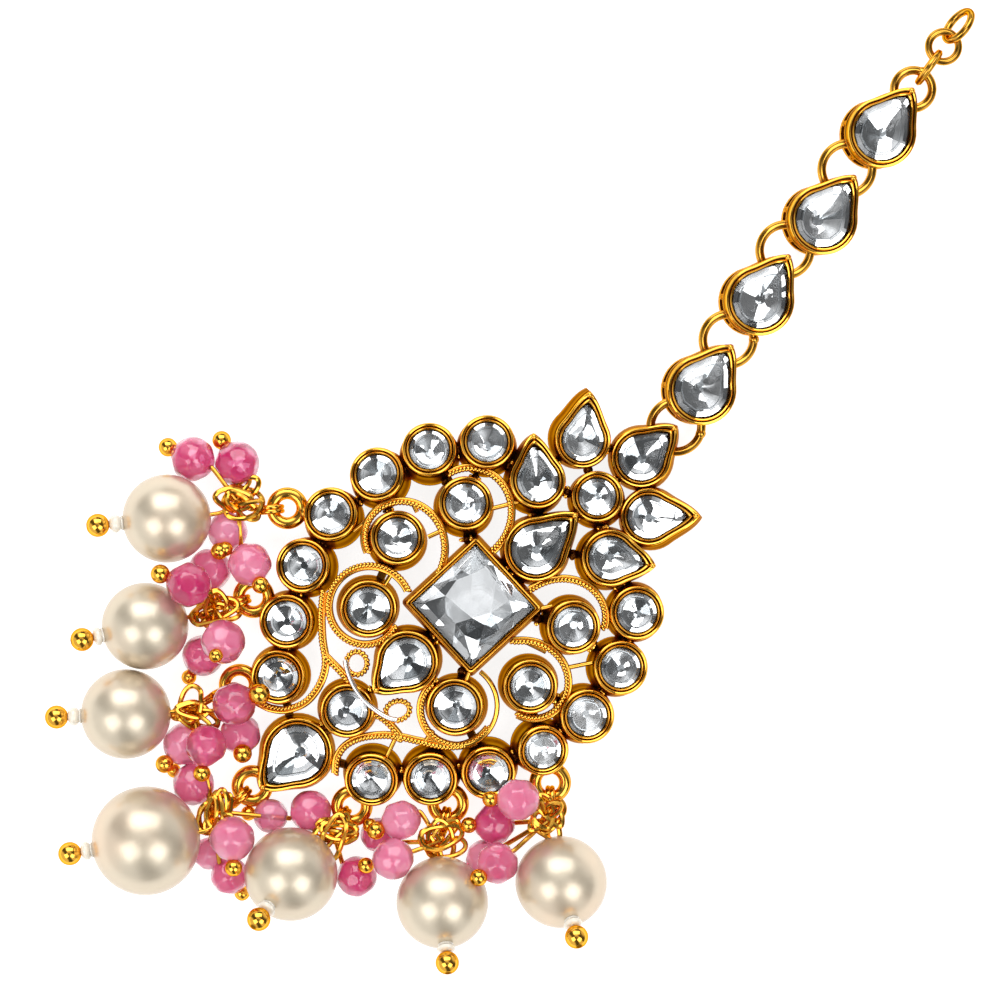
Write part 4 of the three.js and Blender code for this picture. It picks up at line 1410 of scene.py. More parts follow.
class WireTangle(NodeShape):
    """Thin wire along a line, wandering by noise with a fixed seed."""

    def __init__(self, material: bpy.types.Material) -> None:
        """Builds the group: a resampled line moved by noise and given a round section.

        Args:
            material: the wire's finish.
        """
        super().__init__("Wire tangle")
        for name, value in (("Wander", 0.5), ("Scale", 0.45), ("Wire radius", 0.2), ("Seed", 1.0)):
            self.number(name, value)
        self.number("Steps", 60, "NodeSocketInt")
        self.start()
        graph = self.graph
        line = graph.node("GeometryNodeMeshToCurve", None, [self.inputs.outputs["Geometry"]])
        fine = graph.node("GeometryNodeResampleCurve", {"mode": "COUNT"},
                          {"Curve": line.outputs[0], "Count": self.given("Steps")})
        spot = graph.node("GeometryNodeInputPosition")
        noise = graph.node("ShaderNodeTexNoise", {"noise_dimensions": "4D"},
                           {"Vector": spot.outputs[0], "Detail": 1.0, "W": self.given("Seed"),
                            "Scale": self.given("Scale")})
        drift = graph.vector("SUBTRACT", noise.outputs[1], (0.5, 0.5, 0.5))
        scaled = graph.node("ShaderNodeVectorMath", {"operation": "SCALE"},
                            {0: drift, "Scale": self.given("Wander") * 4.0})
        bent = graph.node("GeometryNodeSetPosition", None, {
            "Geometry": fine.outputs[0], "Offset": scaled.outputs[0]})
        profile = graph.node("GeometryNodeCurvePrimitiveCircle", None,
                             {"Resolution": 8, "Radius": self.given("Wire radius")})
        wire = graph.node("GeometryNodeCurveToMesh", None, {
            "Curve": bent.outputs[0], "Profile Curve": profile.outputs[0], "Fill Caps": True})
        self.end(wire.outputs[0], material)


# Stones and cups


@dataclass(frozen=True)
class Cup:
    """A stone cup of the plate in its own frame."""

    row: CupRow

    @property
    def radius(self) -> float:
        """Rim's outer radius."""
        return ROUND_RIM_R * self.row.size

    @property
    def rim(self) -> Array:
        """Rim's centre."""
        x, y = self.row.x * PLATE_R, self.row.y * PLATE_R
        return np.array([x, y, dome(x, y)])

    @property
    def normal(self) -> Array:
        """Direction the stone looks in."""
        normal = np.array([*self.row.lean, 1.0])
        return normal / np.linalg.norm(normal)

    @property
    def foot(self) -> Array:
        """Centre of the cup's back."""
        return self.rim - self.normal * CUP_H

    @property
    def frame(self) -> Matrix:
        """Frame at the foot."""
        return standing(self.foot, self.row.lean, self.row.turn)

    def outline(self, sides: int = 48) -> Outline:
        """Rim's outline.

        Args:
            sides: how many points a round has.

        Returns:
            The outline.
        """
        if self.row.name == "square":
            return square_outline(SQUARE_HALF, 0.3)
        if self.row.tip:
            return pear_outline(self.radius, self.row.tip * ROUND_RIM_R, sides + 8)
        return circle_outline(self.radius, sides)

    def build(self, into: Solid) -> None:
        """Adds the cup's wall, its double ridge and its floor.

        Args:
            into: the plate's metal.
        """
        h = CUP_H
        square = self.row.name == "square"
        wide, floor = (0.72, h - 2.4) if square else (1.0, h - 1.7)
        # The third number of each row is grime and painted shade. The rows at 0.4 and h - 1.0 are kept
        # light as painted highlight bands between darker painted shade bands down the wall. The foot, the
        # hollow under the rim, the groove between the ridges and the floor are dark, partly grime and
        # partly painted shade.
        rows = [
            (-CUP_FLARE + 0.08, 0.0, 1.0), (-CUP_FLARE, 0.14, 0.95), (-CUP_FLARE + 0.03, 0.4, 0.35),
            (-0.26, 0.8, 0.75), (-0.2, h - 1.7, 0.8), (-0.1, h - 1.0, 0.5), (-0.02, h - 0.62, 0.95),
            (0.05, h - 0.5, 1.0),
            (0.04, h - 0.42, 0.9), (-0.03, h - 0.32, 0.1), (-0.04, h - 0.18, 0.0),
            (0.02, h - 0.05, 0.0), (0.11 * wide, h, 0.0), (0.21 * wide, h - 0.03, 0.0),
            (0.28 * wide, h - 0.12, 0.9), (0.32 * wide, h - 0.24, 1.0), (0.36 * wide, h - 0.14, 1.0),
            (0.40 * wide, h - 0.03, 0.1), (0.46 * wide, h + 0.02, 0.0), (0.53 * wide, h - 0.02, 0.0),
            (0.58 * wide, h - 0.12, 0.6), (0.62 * wide, h - 0.24, 1.0), (0.70 * wide, h - 0.34, 1.0),
            (0.71 * wide, floor, 1.0),
        ]
        into.loft(self.outline(), rows, self.frame)
        if self.row.tip:
            into.ball(moved(tip_spot(self.outline(), h - 0.16), self.frame)[0], 0.3, 0.1, segments=14)


@dataclass
class StoneCut:
    """Cut stone: a clear faceted top over a silvered faceted back.

    Args:
        outline: the stone's outline at the cup's rim.
        place: the cup's frame.
        height: the rim's height in that frame.
        count: bevels round the stone's top.
        facets: facets of its back.
        cover: how far the rim reaches over the stone.
        width: half width of the narrowest way across.
        bevel: width of the top's bevels as a share of the open stone.
        drop: how far the back's upper edge lies below the rim.
    """

    outline: Outline
    place: Matrix
    height: float
    count: int
    facets: int
    cover: float
    width: float
    bevel: float = 0.2
    drop: float = 0.66

    def crown(self, into: Solid) -> None:
        """Adds the clear top: a girdle, a belt of bevels and a table.

        Args:
            into: the clear stones.
        """
        n = self.count
        girdle = self.cover - 0.05
        table = self.cover + (self.width - self.cover) * self.bevel
        rings = [self._sample(inset, self.height + up, np.arange(n) / n)
                 for inset, up in ((girdle, -0.62), (girdle, -0.26), (table, 0.06))]
        faces = [tuple(range(n))[::-1], *belts(3, n), tuple(range(2 * n, 3 * n))]
        into.add(moved(np.concatenate(rings), self.place), faces, 0.0)

    def back(self, into: Solid, seed: int) -> None:
        """Adds the silvered back: a band painted bright, then long, gently hollow facets in random
        painted shades, and a culet painted fairly dark; these painted shades are painted reflection.

        Args:
            into: the silvered backs.
            seed: seed of this stone's random draws.
        """
        rng = np.random.default_rng(seed)
        inner = self.width - self.cover
        top = self.height - self.drop
        facets = self.facets
        per_facet = 3
        n = facets * per_facet
        fall = inner * (0.17 + rng.uniform(-0.05, 0.06, facets))
        # Random painted shade of each facet, as painted reflection of lighter and darker surroundings.
        tones = rng.permutation(np.linspace(0.0, 1.0, facets)) ** 2.4 * 0.8
        bounds = (np.arange(facets) + rng.uniform(-0.36, 0.36, facets)) / facets
        bounds = np.append(bounds, bounds[0] + 1)
        around = np.concatenate([np.linspace(bounds[k], bounds[k + 1], per_facet, endpoint=False)
                                 for k in range(facets)])
        facet_of = np.repeat(np.arange(facets), per_facet)
        bow = np.sin(math.pi * (np.arange(n) % per_facet) / per_facet)
        depth = (fall[facet_of] + fall[facet_of - 1]) / 2 + (fall[facet_of] - (
            fall[facet_of] + fall[facet_of - 1]) / 2) * bow * 0.7
        rings = []
        for share, down, bend in ((0.0, 0.0, 0), (0.26, 0.07 * inner, 0), (0.29, 0.07 * inner, 0),
                                  (0.46, 0.25, 1), (0.64, 0.6, 1), (0.82, 1.0, 1)):
            ring = self._sample(self.cover - 0.04 + inner * share, top, around)
            if bend:
                ring[:, 2] -= 0.07 * inner + depth * down
            else:
                ring[:, 2] -= down
            rings.append(ring)
        last = (len(rings) - 1) * n
        shift = rng.uniform(-0.1, 0.1, 2) * inner
        rings[-1][:, :2] += shift
        low = float(rings[-1][:, 2].mean())
        centre = np.array([[*shift, low]])
        rim = rings[0].copy()
        rim[:, 2] = top - 0.7
        under = np.array([[0.0, 0.0, top - 0.8]])
        faces: list[Sequence[int]] = []
        sectors: list[int] = []
        painted_facet_shades: list[float] = []
        for i in range(n):
            j = (i + 1) % n
            k = int(facet_of[i])
            for row in range(len(rings) - 1):
                a, b = row * n, (row + 1) * n
                faces.append((a + i, a + j, b + j, b + i))
                # Painted shades: the outer band bright, the narrow band inside it dark, the facets their
                # random shade, the culet fairly dark, the hidden sides bright.
                sectors.append(1 + k // 2 if row == 0 else 20 if row == 1 else 21 + k)
                painted_facet_shades.append(0.12 + 0.2 * (k % 2) if row == 0 else 0.85 if row == 1 else float(tones[k]))
            faces.append((last + i, last + j, last + n))
            base = last + n + 1
            faces.extend([(base + j, j, i, base + i), (base + n, base + j, base + i)])
            sectors.extend([50, 51, 52])
            painted_facet_shades.extend([0.75, 0.0, 0.0])
        points = moved(np.concatenate([*rings, centre, rim, under]), self.place)
        into.add(points, faces, 0.0, 0.5, sectors, painted_facet_shades)

    def _sample(self, inset: float, z: float, around: Array) -> Array:
        """Points of the outline at shares of its way round.

        Args:
            inset: how far they lie inside the outline.
            z: their height.
            around: the shares.

        Returns:
            The points.
        """
        ring = self.outline(inset)
        total = len(ring)
        where = (around % 1.0) * total
        low = np.floor(where).astype(int) % total
        part = (where - np.floor(where))[:, None]
        flat = ring[low] * (1 - part) + ring[(low + 1) % total] * part
        return np.column_stack([flat, np.full(len(around), z)])


class SquareCut(StoneCut):
    """The square stone: its back is a large facet painted bright over a fan of facets painted darker, as
    painted reflection.
    """

    # Places in shares of the half diagonal, right and up in the photo, and depth in mm
    TABLE = (
        (-0.47, 0.16, 0.42), (-0.28, 0.43, 0.62), (-0.06, 0.51, 0.70), (0.20, 0.64, 0.78),
        (0.38, 0.40, 0.60), (0.60, 0.08, 0.36), (0.66, -0.12, 0.30), (0.45, -0.42, 0.42),
        (0.10, -0.60, 0.50), (-0.15, -0.50, 0.44), (-0.30, -0.30, 0.20), (-0.47, -0.12, 0.24),
    )
    FAN = ((0.30, -0.12, 0.16), (-0.02, -0.21, 0.12), (0.18, -0.32, 0.26))
    FALL = 1.8
    # Which facet each face of the table belongs to, and its painted shade as painted reflection
    TABLE_SECTORS = (201, 201, 200, 200, 200, 200, 200, 202, 203, 203, 204, 205, 206, 207, 208, 209)
    TABLE_PAINTED_SHADES = (0.25, 0.2, 0.04, 0.02, 0.02, 0.02, 0.04, 0.12, 0.3, 0.45, 0.6, 0.85, 0.5, 0.9, 0.7,
                   0.45)

    def back(self, into: Solid, seed: int) -> None:
        """Adds the silvered back.

        Args:
            into: the silvered backs.
            seed: seed of the facets' tones.
        """
        reach = (self.width - self.cover) * math.sqrt(2) * 0.985
        top = self.height - self.drop
        edge = []
        for k in range(4):
            a, b = math.radians(90 - 90 * k), math.radians(-90 * k)
            corner = np.array([math.cos(a), math.sin(a)])
            onward = np.array([math.cos(b), math.sin(b)])
            for share in (0, 1 / 3, 2 / 3):
                edge.append((*(corner * (1 - share) + onward * share), 0.0))
        table = [self.TABLE[(3 + k) % 12] for k in range(12)]
        rows = np.array([*edge, *table, *self.FAN, *edge, (0, 0, 0.85)], float)
        turn = math.radians(-SQUARE.turn)
        c, s = math.cos(turn), math.sin(turn)
        flat = rows[:, :2] @ np.array([[c, s], [-s, c]]) * reach
        depth = rows[:, 2] * self.FALL
        depth[27:39] = 1.45
        points = np.column_stack([flat, top - depth])
        faces: list[Sequence[int]] = []
        for i in range(12):
            j = (i + 1) % 12
            faces.extend([(j, i, 12 + i), (j, 12 + i, 12 + j), (i, j, 27 + j, 27 + i),
                          (27 + i, 27 + j, 39)])
        names = {place: 12 + k for k, place in enumerate(table)}
        t = [names[place] for place in self.TABLE]
        f0, f1, f2 = 24, 25, 26
        faces.extend([
            (t[0], t[11], t[10]), (t[0], t[10], f1), (t[0], f1, t[1]), (t[1], f1, t[2]), (t[2], f1, t[3]),
            (t[3], f1, f0), (t[3], f0, t[4]), (t[4], f0, t[5]), (t[5], f0, t[6]), (t[6], f0, t[7]),
            (f0, f1, f2), (f0, f2, t[7]), (t[7], f2, t[8]), (t[8], f2, t[9]), (t[9], f2, f1),
            (t[9], f1, t[10]),
        ])
        rng = np.random.default_rng(seed)
        sectors = [*range(1, 49), *self.TABLE_SECTORS]
        # The edge facets get random painted shades, as painted reflection.
        painted_facet_shades = [*np.tile(rng.uniform(0.0, 1.0, 24) ** 2 * 0.5, 2)[:48], *self.TABLE_PAINTED_SHADES]
        into.add(moved(points, self.place), faces, 0.0, 0.5, sectors, painted_facet_shades)


# Assemblies


def dress(made: bpy.types.Object, slot: str, *nodes: str) -> bpy.types.Object:
    """Rides a piece on the root body.

    Args:
        made: the piece.
        slot: its material slot; not used.
        nodes: the CAD nodes that it replaces, if any.

    Returns:
        The piece.
    """
    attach(made, "root")
    if nodes:
        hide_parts(*nodes)
    return made


@dataclass
class Plate:
    """The soldered plate with its cups, scrolls and loops; sizes in mm.

    Args:
        gold: the plate's metal.
        pale_metal_painted_light: the bright wire's finish, whose near-white colour is a painted
            highlight.
        rope: the twisted edge.
        scroll: the strip under a scroll.
        strip_w, strip_h: width and height of that strip.
        rope_r, rope_pitch: radius of the rope's grains and the way from one to the next.
        slant, stretch: turn of a grain in radians, and its length in radii.
        plain_r: radius of a plain edge.
        lining_r, lining_out: radius of the wire beside the rope, and its way from it.
        strut_r: radius of a strut.
        loop_wire_r: radius of an edge loop's wire.
        solder_r: radius of the solder at a loop.
        bar_w, bar_h: half width and height of a bar between two cups.
    """

    gold: bpy.types.Material
    pale_metal_painted_light: bpy.types.Material
    rope: RopeEdge
    scroll: DomeScroll
    strip_w: float = 0.42
    strip_h: float = 1.2
    rope_r: float = 0.2
    rope_pitch: float = 0.34
    slant: float = 0.85
    stretch: float = 1.75
    plain_r: float = 0.24
    lining_r: float = 0.17
    lining_out: float = 0.32
    strut_r: float = 0.22
    loop_wire_r: float = 0.56
    solder_r: float = 0.75
    bar_w: float = 0.4
    bar_h: float = 0.75
    cups: dict[str, Cup] = field(init=False)

    def __post_init__(self) -> None:
        """Lays out the cups."""
        self.cups = {row.name: Cup(row) for row in (SQUARE, *PEARS, *ROUNDS)}

    def build(self) -> list[bpy.types.Object]:
        """Builds and dresses the plate.

        Returns:
            The plate and its bright wire.
        """
        metal = Solid()
        for cup in self.cups.values():
            cup.build(metal)
        self._joints(metal)
        for first, last in BARS:
            self._bar(metal, self.cups[first], self.cups[last])
        for row in SPIRALS:
            self._spiral(metal, row)
        bright = Solid()
        for row in STRANDS:
            self._strand(bright if row.lift else metal, row)
        for first, last in STRUTS:
            self._strut(metal, first, last)
        for centre, half, turn, edge in EYELETS:
            self._eyelet(metal, centre, half, turn, edge)
        for drop in DROPS:
            self._loop(metal, drop)
        return [dress(metal.build("plate", self.gold), "gold", "plate_frame"),
                dress(bright.build("painted_highlight_wire", self.pale_metal_painted_light), "gold")]

    def _joints(self, metal: Solid) -> None:
        """Adds solder between neighbouring cups, nearly fully darkened by grime and painted shade:
        painted shade of the recess between the cups.

        Args:
            metal: the plate's metal.
        """
        rng = np.random.default_rng(5)
        cups = list(self.cups.values())
        for i, a in enumerate(cups):
            for b in cups[i + 1:]:
                between = b.foot - a.foot
                gap = np.linalg.norm(between[:2])
                reach_a, reach_b = self._reach(a, between), self._reach(b, -between)
                if gap - reach_a - reach_b > 0.4:
                    continue
                out = between / np.linalg.norm(between)
                middle = (a.foot + out * reach_a + b.foot - out * reach_b) / 2
                width = max(gap - reach_a - reach_b, 0.0) / 2 + 0.35
                for level, size in ((0.5, 1.0), (1.3, 0.9), (1.9, 0.7)):
                    jitter = rng.uniform(-0.1, 0.1, 3)
                    metal.ball(middle + jitter + np.array([0, 0, level]), 0.36 * size, 0.95,
                               squash=(width / 0.4, width / 0.4, 1.3), segments=10)
                across = np.array([-out[1], out[0], 0.0])
                for _ in range(5):
                    spot = middle + across * rng.uniform(-0.5, 0.5)
                    spot = spot + np.array([0, 0, rng.uniform(1.1, 2.1)])
                    metal.ball(spot, rng.uniform(0.14, 0.28), float(rng.choice([0.1, 0.2, 0.9])),
                               squash=rng.uniform(0.7, 1.3, 3), segments=8)

    def _bar(self, metal: Solid, a: Cup, b: Cup) -> None:
        """Adds a low bar between two cups.

        Args:
            metal: the plate's metal.
            a: one cup.
            b: the other.
        """
        between = b.foot - a.foot
        out = between / np.linalg.norm(between)
        start = a.foot + out * (self._reach(a, between) - 0.3)
        end = b.foot - out * (self._reach(b, -between) - 0.3)
        w, h = self.bar_w, self.bar_h
        section = np.array([(-w, 0), (w, 0), (w, h - 0.15), (w - 0.12, h), (0.12 - w, h), (-w, h - 0.15)])
        # The bar sits low between cups and takes high grime and painted shade: partly grime, partly
        # painted shade of the recess.
        metal.sweep(np.array([start, (start + end) / 2, end]), section, tone=0.8)

    @staticmethod
    def _reach(cup: Cup, towards: Array) -> float:
        """Foot's reach from a cup's centre in a direction.

        Args:
            cup: the cup.
            towards: the direction.

        Returns:
            The reach in mm.
        """
        bearing = math.degrees(math.atan2(towards[1], towards[0])) - cup.row.turn
        if cup.row.name == "square":
            off = math.radians(bearing % 90)
            return (SQUARE_HALF + CUP_FLARE) / max(math.cos(off), math.sin(off))
        if not cup.row.tip:
            return cup.radius + CUP_FLARE
        slant = math.acos(cup.radius / (cup.row.tip * ROUND_RIM_R))
        off = abs(math.radians((bearing + 180) % 360 - 180))
        wall = cup.radius + CUP_FLARE
        return wall / math.cos(slant - off) if off < slant else wall

    def _spiral(self, metal: Solid, row: SpiralRow) -> None:
        """Adds a scroll that winds round a cup.

        Args:
            metal: the plate's metal.
            row: the scroll.
        """
        cup = self.cups[row.around]
        first, last = math.radians(row.start_angle), math.radians(row.end_angle)
        values = {
            "Centre X": float(cup.rim[0]), "Centre Y": float(cup.rim[1]), "First angle": first,
            "Last angle": last, "First radius": row.start * ROUND_RIM_R,
            "Last radius": row.end * ROUND_RIM_R, "Bend": float(row.bend),
            "Width": self.strip_w, "Depth": self.strip_h}
        # The strip under the rope takes a middle grime and painted shade value, darker than the rope on
        # it.
        metal.take(self.scroll.apply(np.zeros((1, 3)), values), tone=0.55)
        share = np.linspace(0, 1, 60)
        radius = ROUND_RIM_R * (row.start + (row.end - row.start) * share ** row.bend)
        angle = first + (last - first) * share
        flat = np.column_stack([cup.rim[0] + radius * np.cos(angle), cup.rim[1] + radius * np.sin(angle)])
        self._edge(metal, flat, row.edge, 0.0)

    def _edge(self, metal: Solid, flat: Array, edge: Edge, lift: float, lined: bool = True) -> None:
        """Adds the worked wire on top of a scroll, and the plain wire that lines it.

        Args:
            metal: where it goes.
            flat: the scroll's line in plan.
            edge: how it is worked.
            lift: its height over the scrolls.
            lined: whether a plain wire lies beside the rope.
        """
        height = dome(flat[:, 0], flat[:, 1]) - SCROLL_DROP + lift
        path = np.column_stack([flat, height])
        if edge is Edge.PLAIN:
            metal.sweep(path, circle_section(self.plain_r, 12), tone=0.05)
            return
        metal.take(self.rope.apply(path, {"Radius": self.rope_r, "Pitch": self.rope_pitch,
                                          "Slant": self.slant, "Stretch": self.stretch}), tone=0.05)
        if not lined:
            return
        ahead = np.gradient(flat, axis=0)
        side = np.column_stack([-ahead[:, 1], ahead[:, 0]])
        side /= np.linalg.norm(side, axis=1)[:, None] + 1e-12
        inner = np.column_stack([flat + side * self.lining_out, height - 0.1])
        metal.sweep(inner, circle_section(self.lining_r, 10), tone=0.1)

    def _strand(self, metal: Solid, row: StrandRow) -> None:
        """Adds a scroll that wanders between the cups.

        Args:
            metal: where it goes.
            row: the scroll.
        """
        points = np.array([from_pixel(p)[:2] for p in row.pixels])
        flat = smooth_path(np.column_stack([points, np.zeros(len(points))]))[:, :2]
        if row.lift:
            self._edge(metal, flat, row.edge, row.lift)
            return
        w, h = self.strip_w / 2, self.strip_h / 2
        height = dome(flat[:, 0], flat[:, 1]) - SCROLL_DROP - h
        section = np.array([(-w, -h), (w, -h), (w, h), (-w, h)])
        # The strip under the rope takes a middle grime and painted shade value, darker than the rope on
        # it.
        metal.sweep(np.column_stack([flat, height]), section, tone=0.55)
        self._edge(metal, flat, row.edge, 0.0)

    def _strut(self, metal: Solid, first: Sequence[float], last: Sequence[float]) -> None:
        """Adds a small straight strut.

        Args:
            metal: the plate's metal.
            first, last: its ends as pixels of the photo.
        """
        a, b = from_pixel(first), from_pixel(last)
        for end in (a, b):
            end[2] = dome(end[0], end[1]) - SCROLL_DROP - 0.15
        metal.sweep(np.array([a, (a + b) / 2, b]), circle_section(self.strut_r, 12), tone=0.2)

    def _eyelet(self, metal: Solid, centre: Sequence[float], half: Sequence[float], turn: float,
                edge: Edge) -> None:
        """Adds a small wire ring of the scrolls.

        Args:
            metal: the plate's metal.
            centre: its middle as a pixel of the photo.
            half: half its width and height in pixels.
            turn: its turn in degrees.
            edge: how its top is worked.
        """
        middle = from_pixel(centre)
        angle = np.linspace(0, 2 * math.pi, 40)
        local = np.column_stack([np.cos(angle) * (half[0] * 0.0925 - 0.2),
                                 np.sin(angle) * (half[1] * 0.0925 - 0.2)])
        c, s = math.cos(math.radians(turn)), math.sin(math.radians(turn))
        flat = local @ np.array([[c, s], [-s, c]]) + middle[:2]
        height = dome(flat[:, 0], flat[:, 1]) - SCROLL_DROP - 0.35
        section = np.array([(-0.18, -0.4), (0.18, -0.4), (0.18, 0.35), (-0.18, 0.35)])
        # The band under the eyelet's rope takes a middle grime and painted shade value, darker than the
        # rope on it.
        metal.sweep(np.column_stack([flat, height]), section, tone=0.5)
        self._edge(metal, flat, edge, 0.0, False)

    def _loop(self, metal: Solid, drop: DropRow) -> None:
        """Adds a heavy edge loop and its solder.

        Args:
            metal: the plate's metal.
            drop: the drop that hangs in the loop.
        """
        x, y, up = drop.loop
        centre = np.array([x * PLATE_R, y * PLATE_R, up * CUP_H])
        place = Matrix.Translation(Vector(centre))
        metal.sweep(ring_path(LOOP_R, place), circle_section(self.loop_wire_r, 16), True, 0.12)
        near = min(self.cups.values(), key=lambda cup: float(np.linalg.norm(cup.foot - centre)))
        inward = near.foot - centre
        inward[2] = 0
        inward /= np.linalg.norm(inward)
        metal.ball(centre + inward * (LOOP_R + 0.35), self.solder_r, 0.35, segments=16)


@dataclass
class Stones:
    """All the clear stones.

    Args:
        glass: the clear tops' finish.
        foil: the silvered backs' finish.
        cover: how far a rim reaches over its stone, mm.
        square_cover: the same for the square stone.
    """

    glass: bpy.types.Material
    foil: bpy.types.Material
    cover: float = 0.7
    square_cover: float = 0.5

    def cuts(self, rows: Sequence[CupRow], count: int, facets: int) -> list[StoneCut]:
        """Stones for some of the plate's cups.

        Args:
            rows: the cups.
            count: bevels of a stone's top.
            facets: facets of its back.

        Returns:
            The stones.
        """
        made = []
        for row in rows:
            cup = Cup(row)
            shape = (cup.outline(), cup.frame, CUP_H, count, facets)
            if row.name == "square":
                made.append(SquareCut(*shape, self.square_cover, SQUARE_HALF))
            else:
                made.append(StoneCut(*shape, self.cover, cup.radius))
        return made

    def build(self, name: str, cuts: Sequence[StoneCut], nodes: Sequence[str]) -> list[bpy.types.Object]:
        """Builds a group of stones.

        Args:
            name: the group's name.
            cuts: its stones.
            nodes: the CAD nodes that it replaces.

        Returns:
            The clear tops and the silvered backs.
        """
        clear, pale_metal_painted_light = Solid(), Solid()
        for i, cut in enumerate(cuts):
            cut.crown(clear)
            cut.back(pale_metal_painted_light, 11 + i * 7 + len(cuts))
        return [dress(clear.build(f"{name}_tops", self.glass, None), "crystal", *nodes),
                dress(pale_metal_painted_light.build(f"{name}_backs", self.foil, 60), "crystal")]


Pear = tuple[ChainRow, Array, Array]


@dataclass
class Chain:
    """Four tall pear settings on wire rings, and the last links; sizes in mm.

    Args:
        gold: the chain's metal.
        pear_r, pear_tip: a setting's round end and the reach of its tip.
        step: way from a ring's centre to the next pear's, before its row's share.
        base_h, base_w: height and width of a setting's base.
        gallery_h: height of the posts between base and cup.
        cup_h: the cup's height.
        pitch, roll: slopes along and across that a setting leans by.
        ring_r, wire_r: a ring and its wire.
        end_ring_r: the last ring.
        end_link_r, end_middle_r, end_wire_r: the last links and their wire.
        link_gap, link_fuse: the first link's gap, and how far the others pass into each other.
        last_tilt: the last link's tilt in degrees.
        post_r, knob_r: the gallery's posts and their knobs.
        cover: how far a rim reaches over its stone.
    """

    gold: bpy.types.Material
    pear_r: float = 3.24
    pear_tip: float = 5.1
    step: float = 4.55
    base_h: float = 0.45
    base_w: float = 0.6
    gallery_h: float = 1.5
    cup_h: float = 2.0
    pitch: float = 0.05
    roll: float = 0.13
    ring_r: float = 2.38
    wire_r: float = 0.42
    end_ring_r: float = 1.77
    end_link_r: float = 1.62
    end_middle_r: float = 1.4
    end_wire_r: float = 0.36
    link_gap: float = 0.14
    link_fuse: float = 0.08
    last_tilt: float = 25.0
    post_r: float = 0.22
    knob_r: float = 0.32
    cover: float = 0.7

    def __post_init__(self) -> None:
        """Lays the chain out from the tip of the plate's third petal."""
        petal = Cup(next(row for row in PEARS if row.name == "petal_3"))
        tip = petal.rim + heading(petal.row.turn) * ROUND_RIM_R * petal.row.tip
        self.rings = [np.array([tip[0], tip[1], 0.0])]
        self.pears: list[Pear] = []
        for row in CHAIN:
            centre = self.rings[-1] + heading(row.bearing) * self.step * row.step
            lean = heading(row.turn) * self.pitch + heading(row.turn - 90) * self.roll
            sink = max(self.pear_r * float(np.linalg.norm(lean)), self.pear_tip * self.pitch)
            foot = np.array([centre[0], centre[1], sink])
            foot -= lean * (self.base_h + self.gallery_h + self.cup_h)
            foot[2] = sink
            self.pears.append((row, lean[:2], foot))
            self.rings.append(centre + heading(row.onward) * self.pear_tip * row.out)
        self.channel = petal.foot[2] + (CUP_H - 1.0) / 2

    @property
    def height(self) -> float:
        """Rim's height over the foot."""
        return self.base_h + self.gallery_h + self.cup_h

    def _gallery(self, pear: Pear, place: Array) -> float:
        """Height of a gallery's middle over a place.

        Args:
            pear: the setting's row, lean and foot.
            place: a place in plan.

        Returns:
            The height.
        """
        _, lean, foot = pear
        normal = np.array([*lean, 1.0])
        middle = foot + normal / np.linalg.norm(normal) * (self.base_h + self.gallery_h / 2)
        return float(middle[2] - lean @ (place[:2] - middle[:2]))

    def ring_frames(self) -> list[Matrix]:
        """Frames of the five rings.

        Returns:
            The frames, from the plate on.
        """
        frames = []
        for i, centre in enumerate(self.rings):
            last = i == len(CHAIN)
            bearing = CHAIN[i - 1].turn if last else CHAIN[i].bearing
            reach = self.ring_r * 0.75
            along = heading(bearing)
            back, front = centre - along * reach, centre + along * reach
            low = self.channel if i == 0 else self._gallery(self.pears[i - 1], back)
            high = self.end_link_r + self.end_wire_r if last else self._gallery(self.pears[i], front)
            roll = self.roll / 2 if i == 0 or last else self.roll
            lean = along * (low - high) / (2 * reach) + heading(bearing - 90) * roll
            frames.append(standing((centre[0], centre[1], (low + high) / 2), lean[:2], bearing))
        return frames

    def build(self) -> list[bpy.types.Object]:
        """Builds the settings, rings and links.

        Returns:
            A piece for each.
        """
        made = []
        for i, pear in enumerate(self.pears):
            body = Solid()
            self._setting(body, pear)
            made.append(self._finish(body, f"chain_setting_look_{i + 1}", f"chain_setting_{i + 1}"))
        for i, place in enumerate(self.ring_frames()):
            body = Solid()
            radius = self.end_ring_r if i == len(CHAIN) else self.ring_r
            self._ring(body, radius, place, i)
            made.append(self._finish(body, f"chain_ring_look_{i + 1}", f"chain_ring_{i + 1}"))
        body = Solid()
        self._links(body)
        made.append(self._finish(body, "end_links_look", "end_links"))
        return made

    def _finish(self, body: Solid, name: str, node: str) -> bpy.types.Object:
        """Makes a piece that replaces one CAD node."""
        return dress(body.build(name, self.gold), "gold", node)

    def stone_cuts(self) -> list[StoneCut]:
        """The four stones of the chain.

        Returns:
            The stones.
        """
        outline = pear_outline(self.pear_r, self.pear_tip, 56)
        return [StoneCut(outline, standing(foot, lean, row.turn), self.height, 20, 7, self.cover,
                         self.pear_r)
                for row, lean, foot in self.pears]

    def _setting(self, body: Solid, pear: Pear) -> None:
        """Adds a setting's base, cup and gallery.

        Args:
            body: where it goes.
            pear: the setting's row, lean and foot.
        """
        row, lean, foot = pear
        place = standing(foot, lean, row.turn)
        outline = pear_outline(self.pear_r, self.pear_tip, 56)
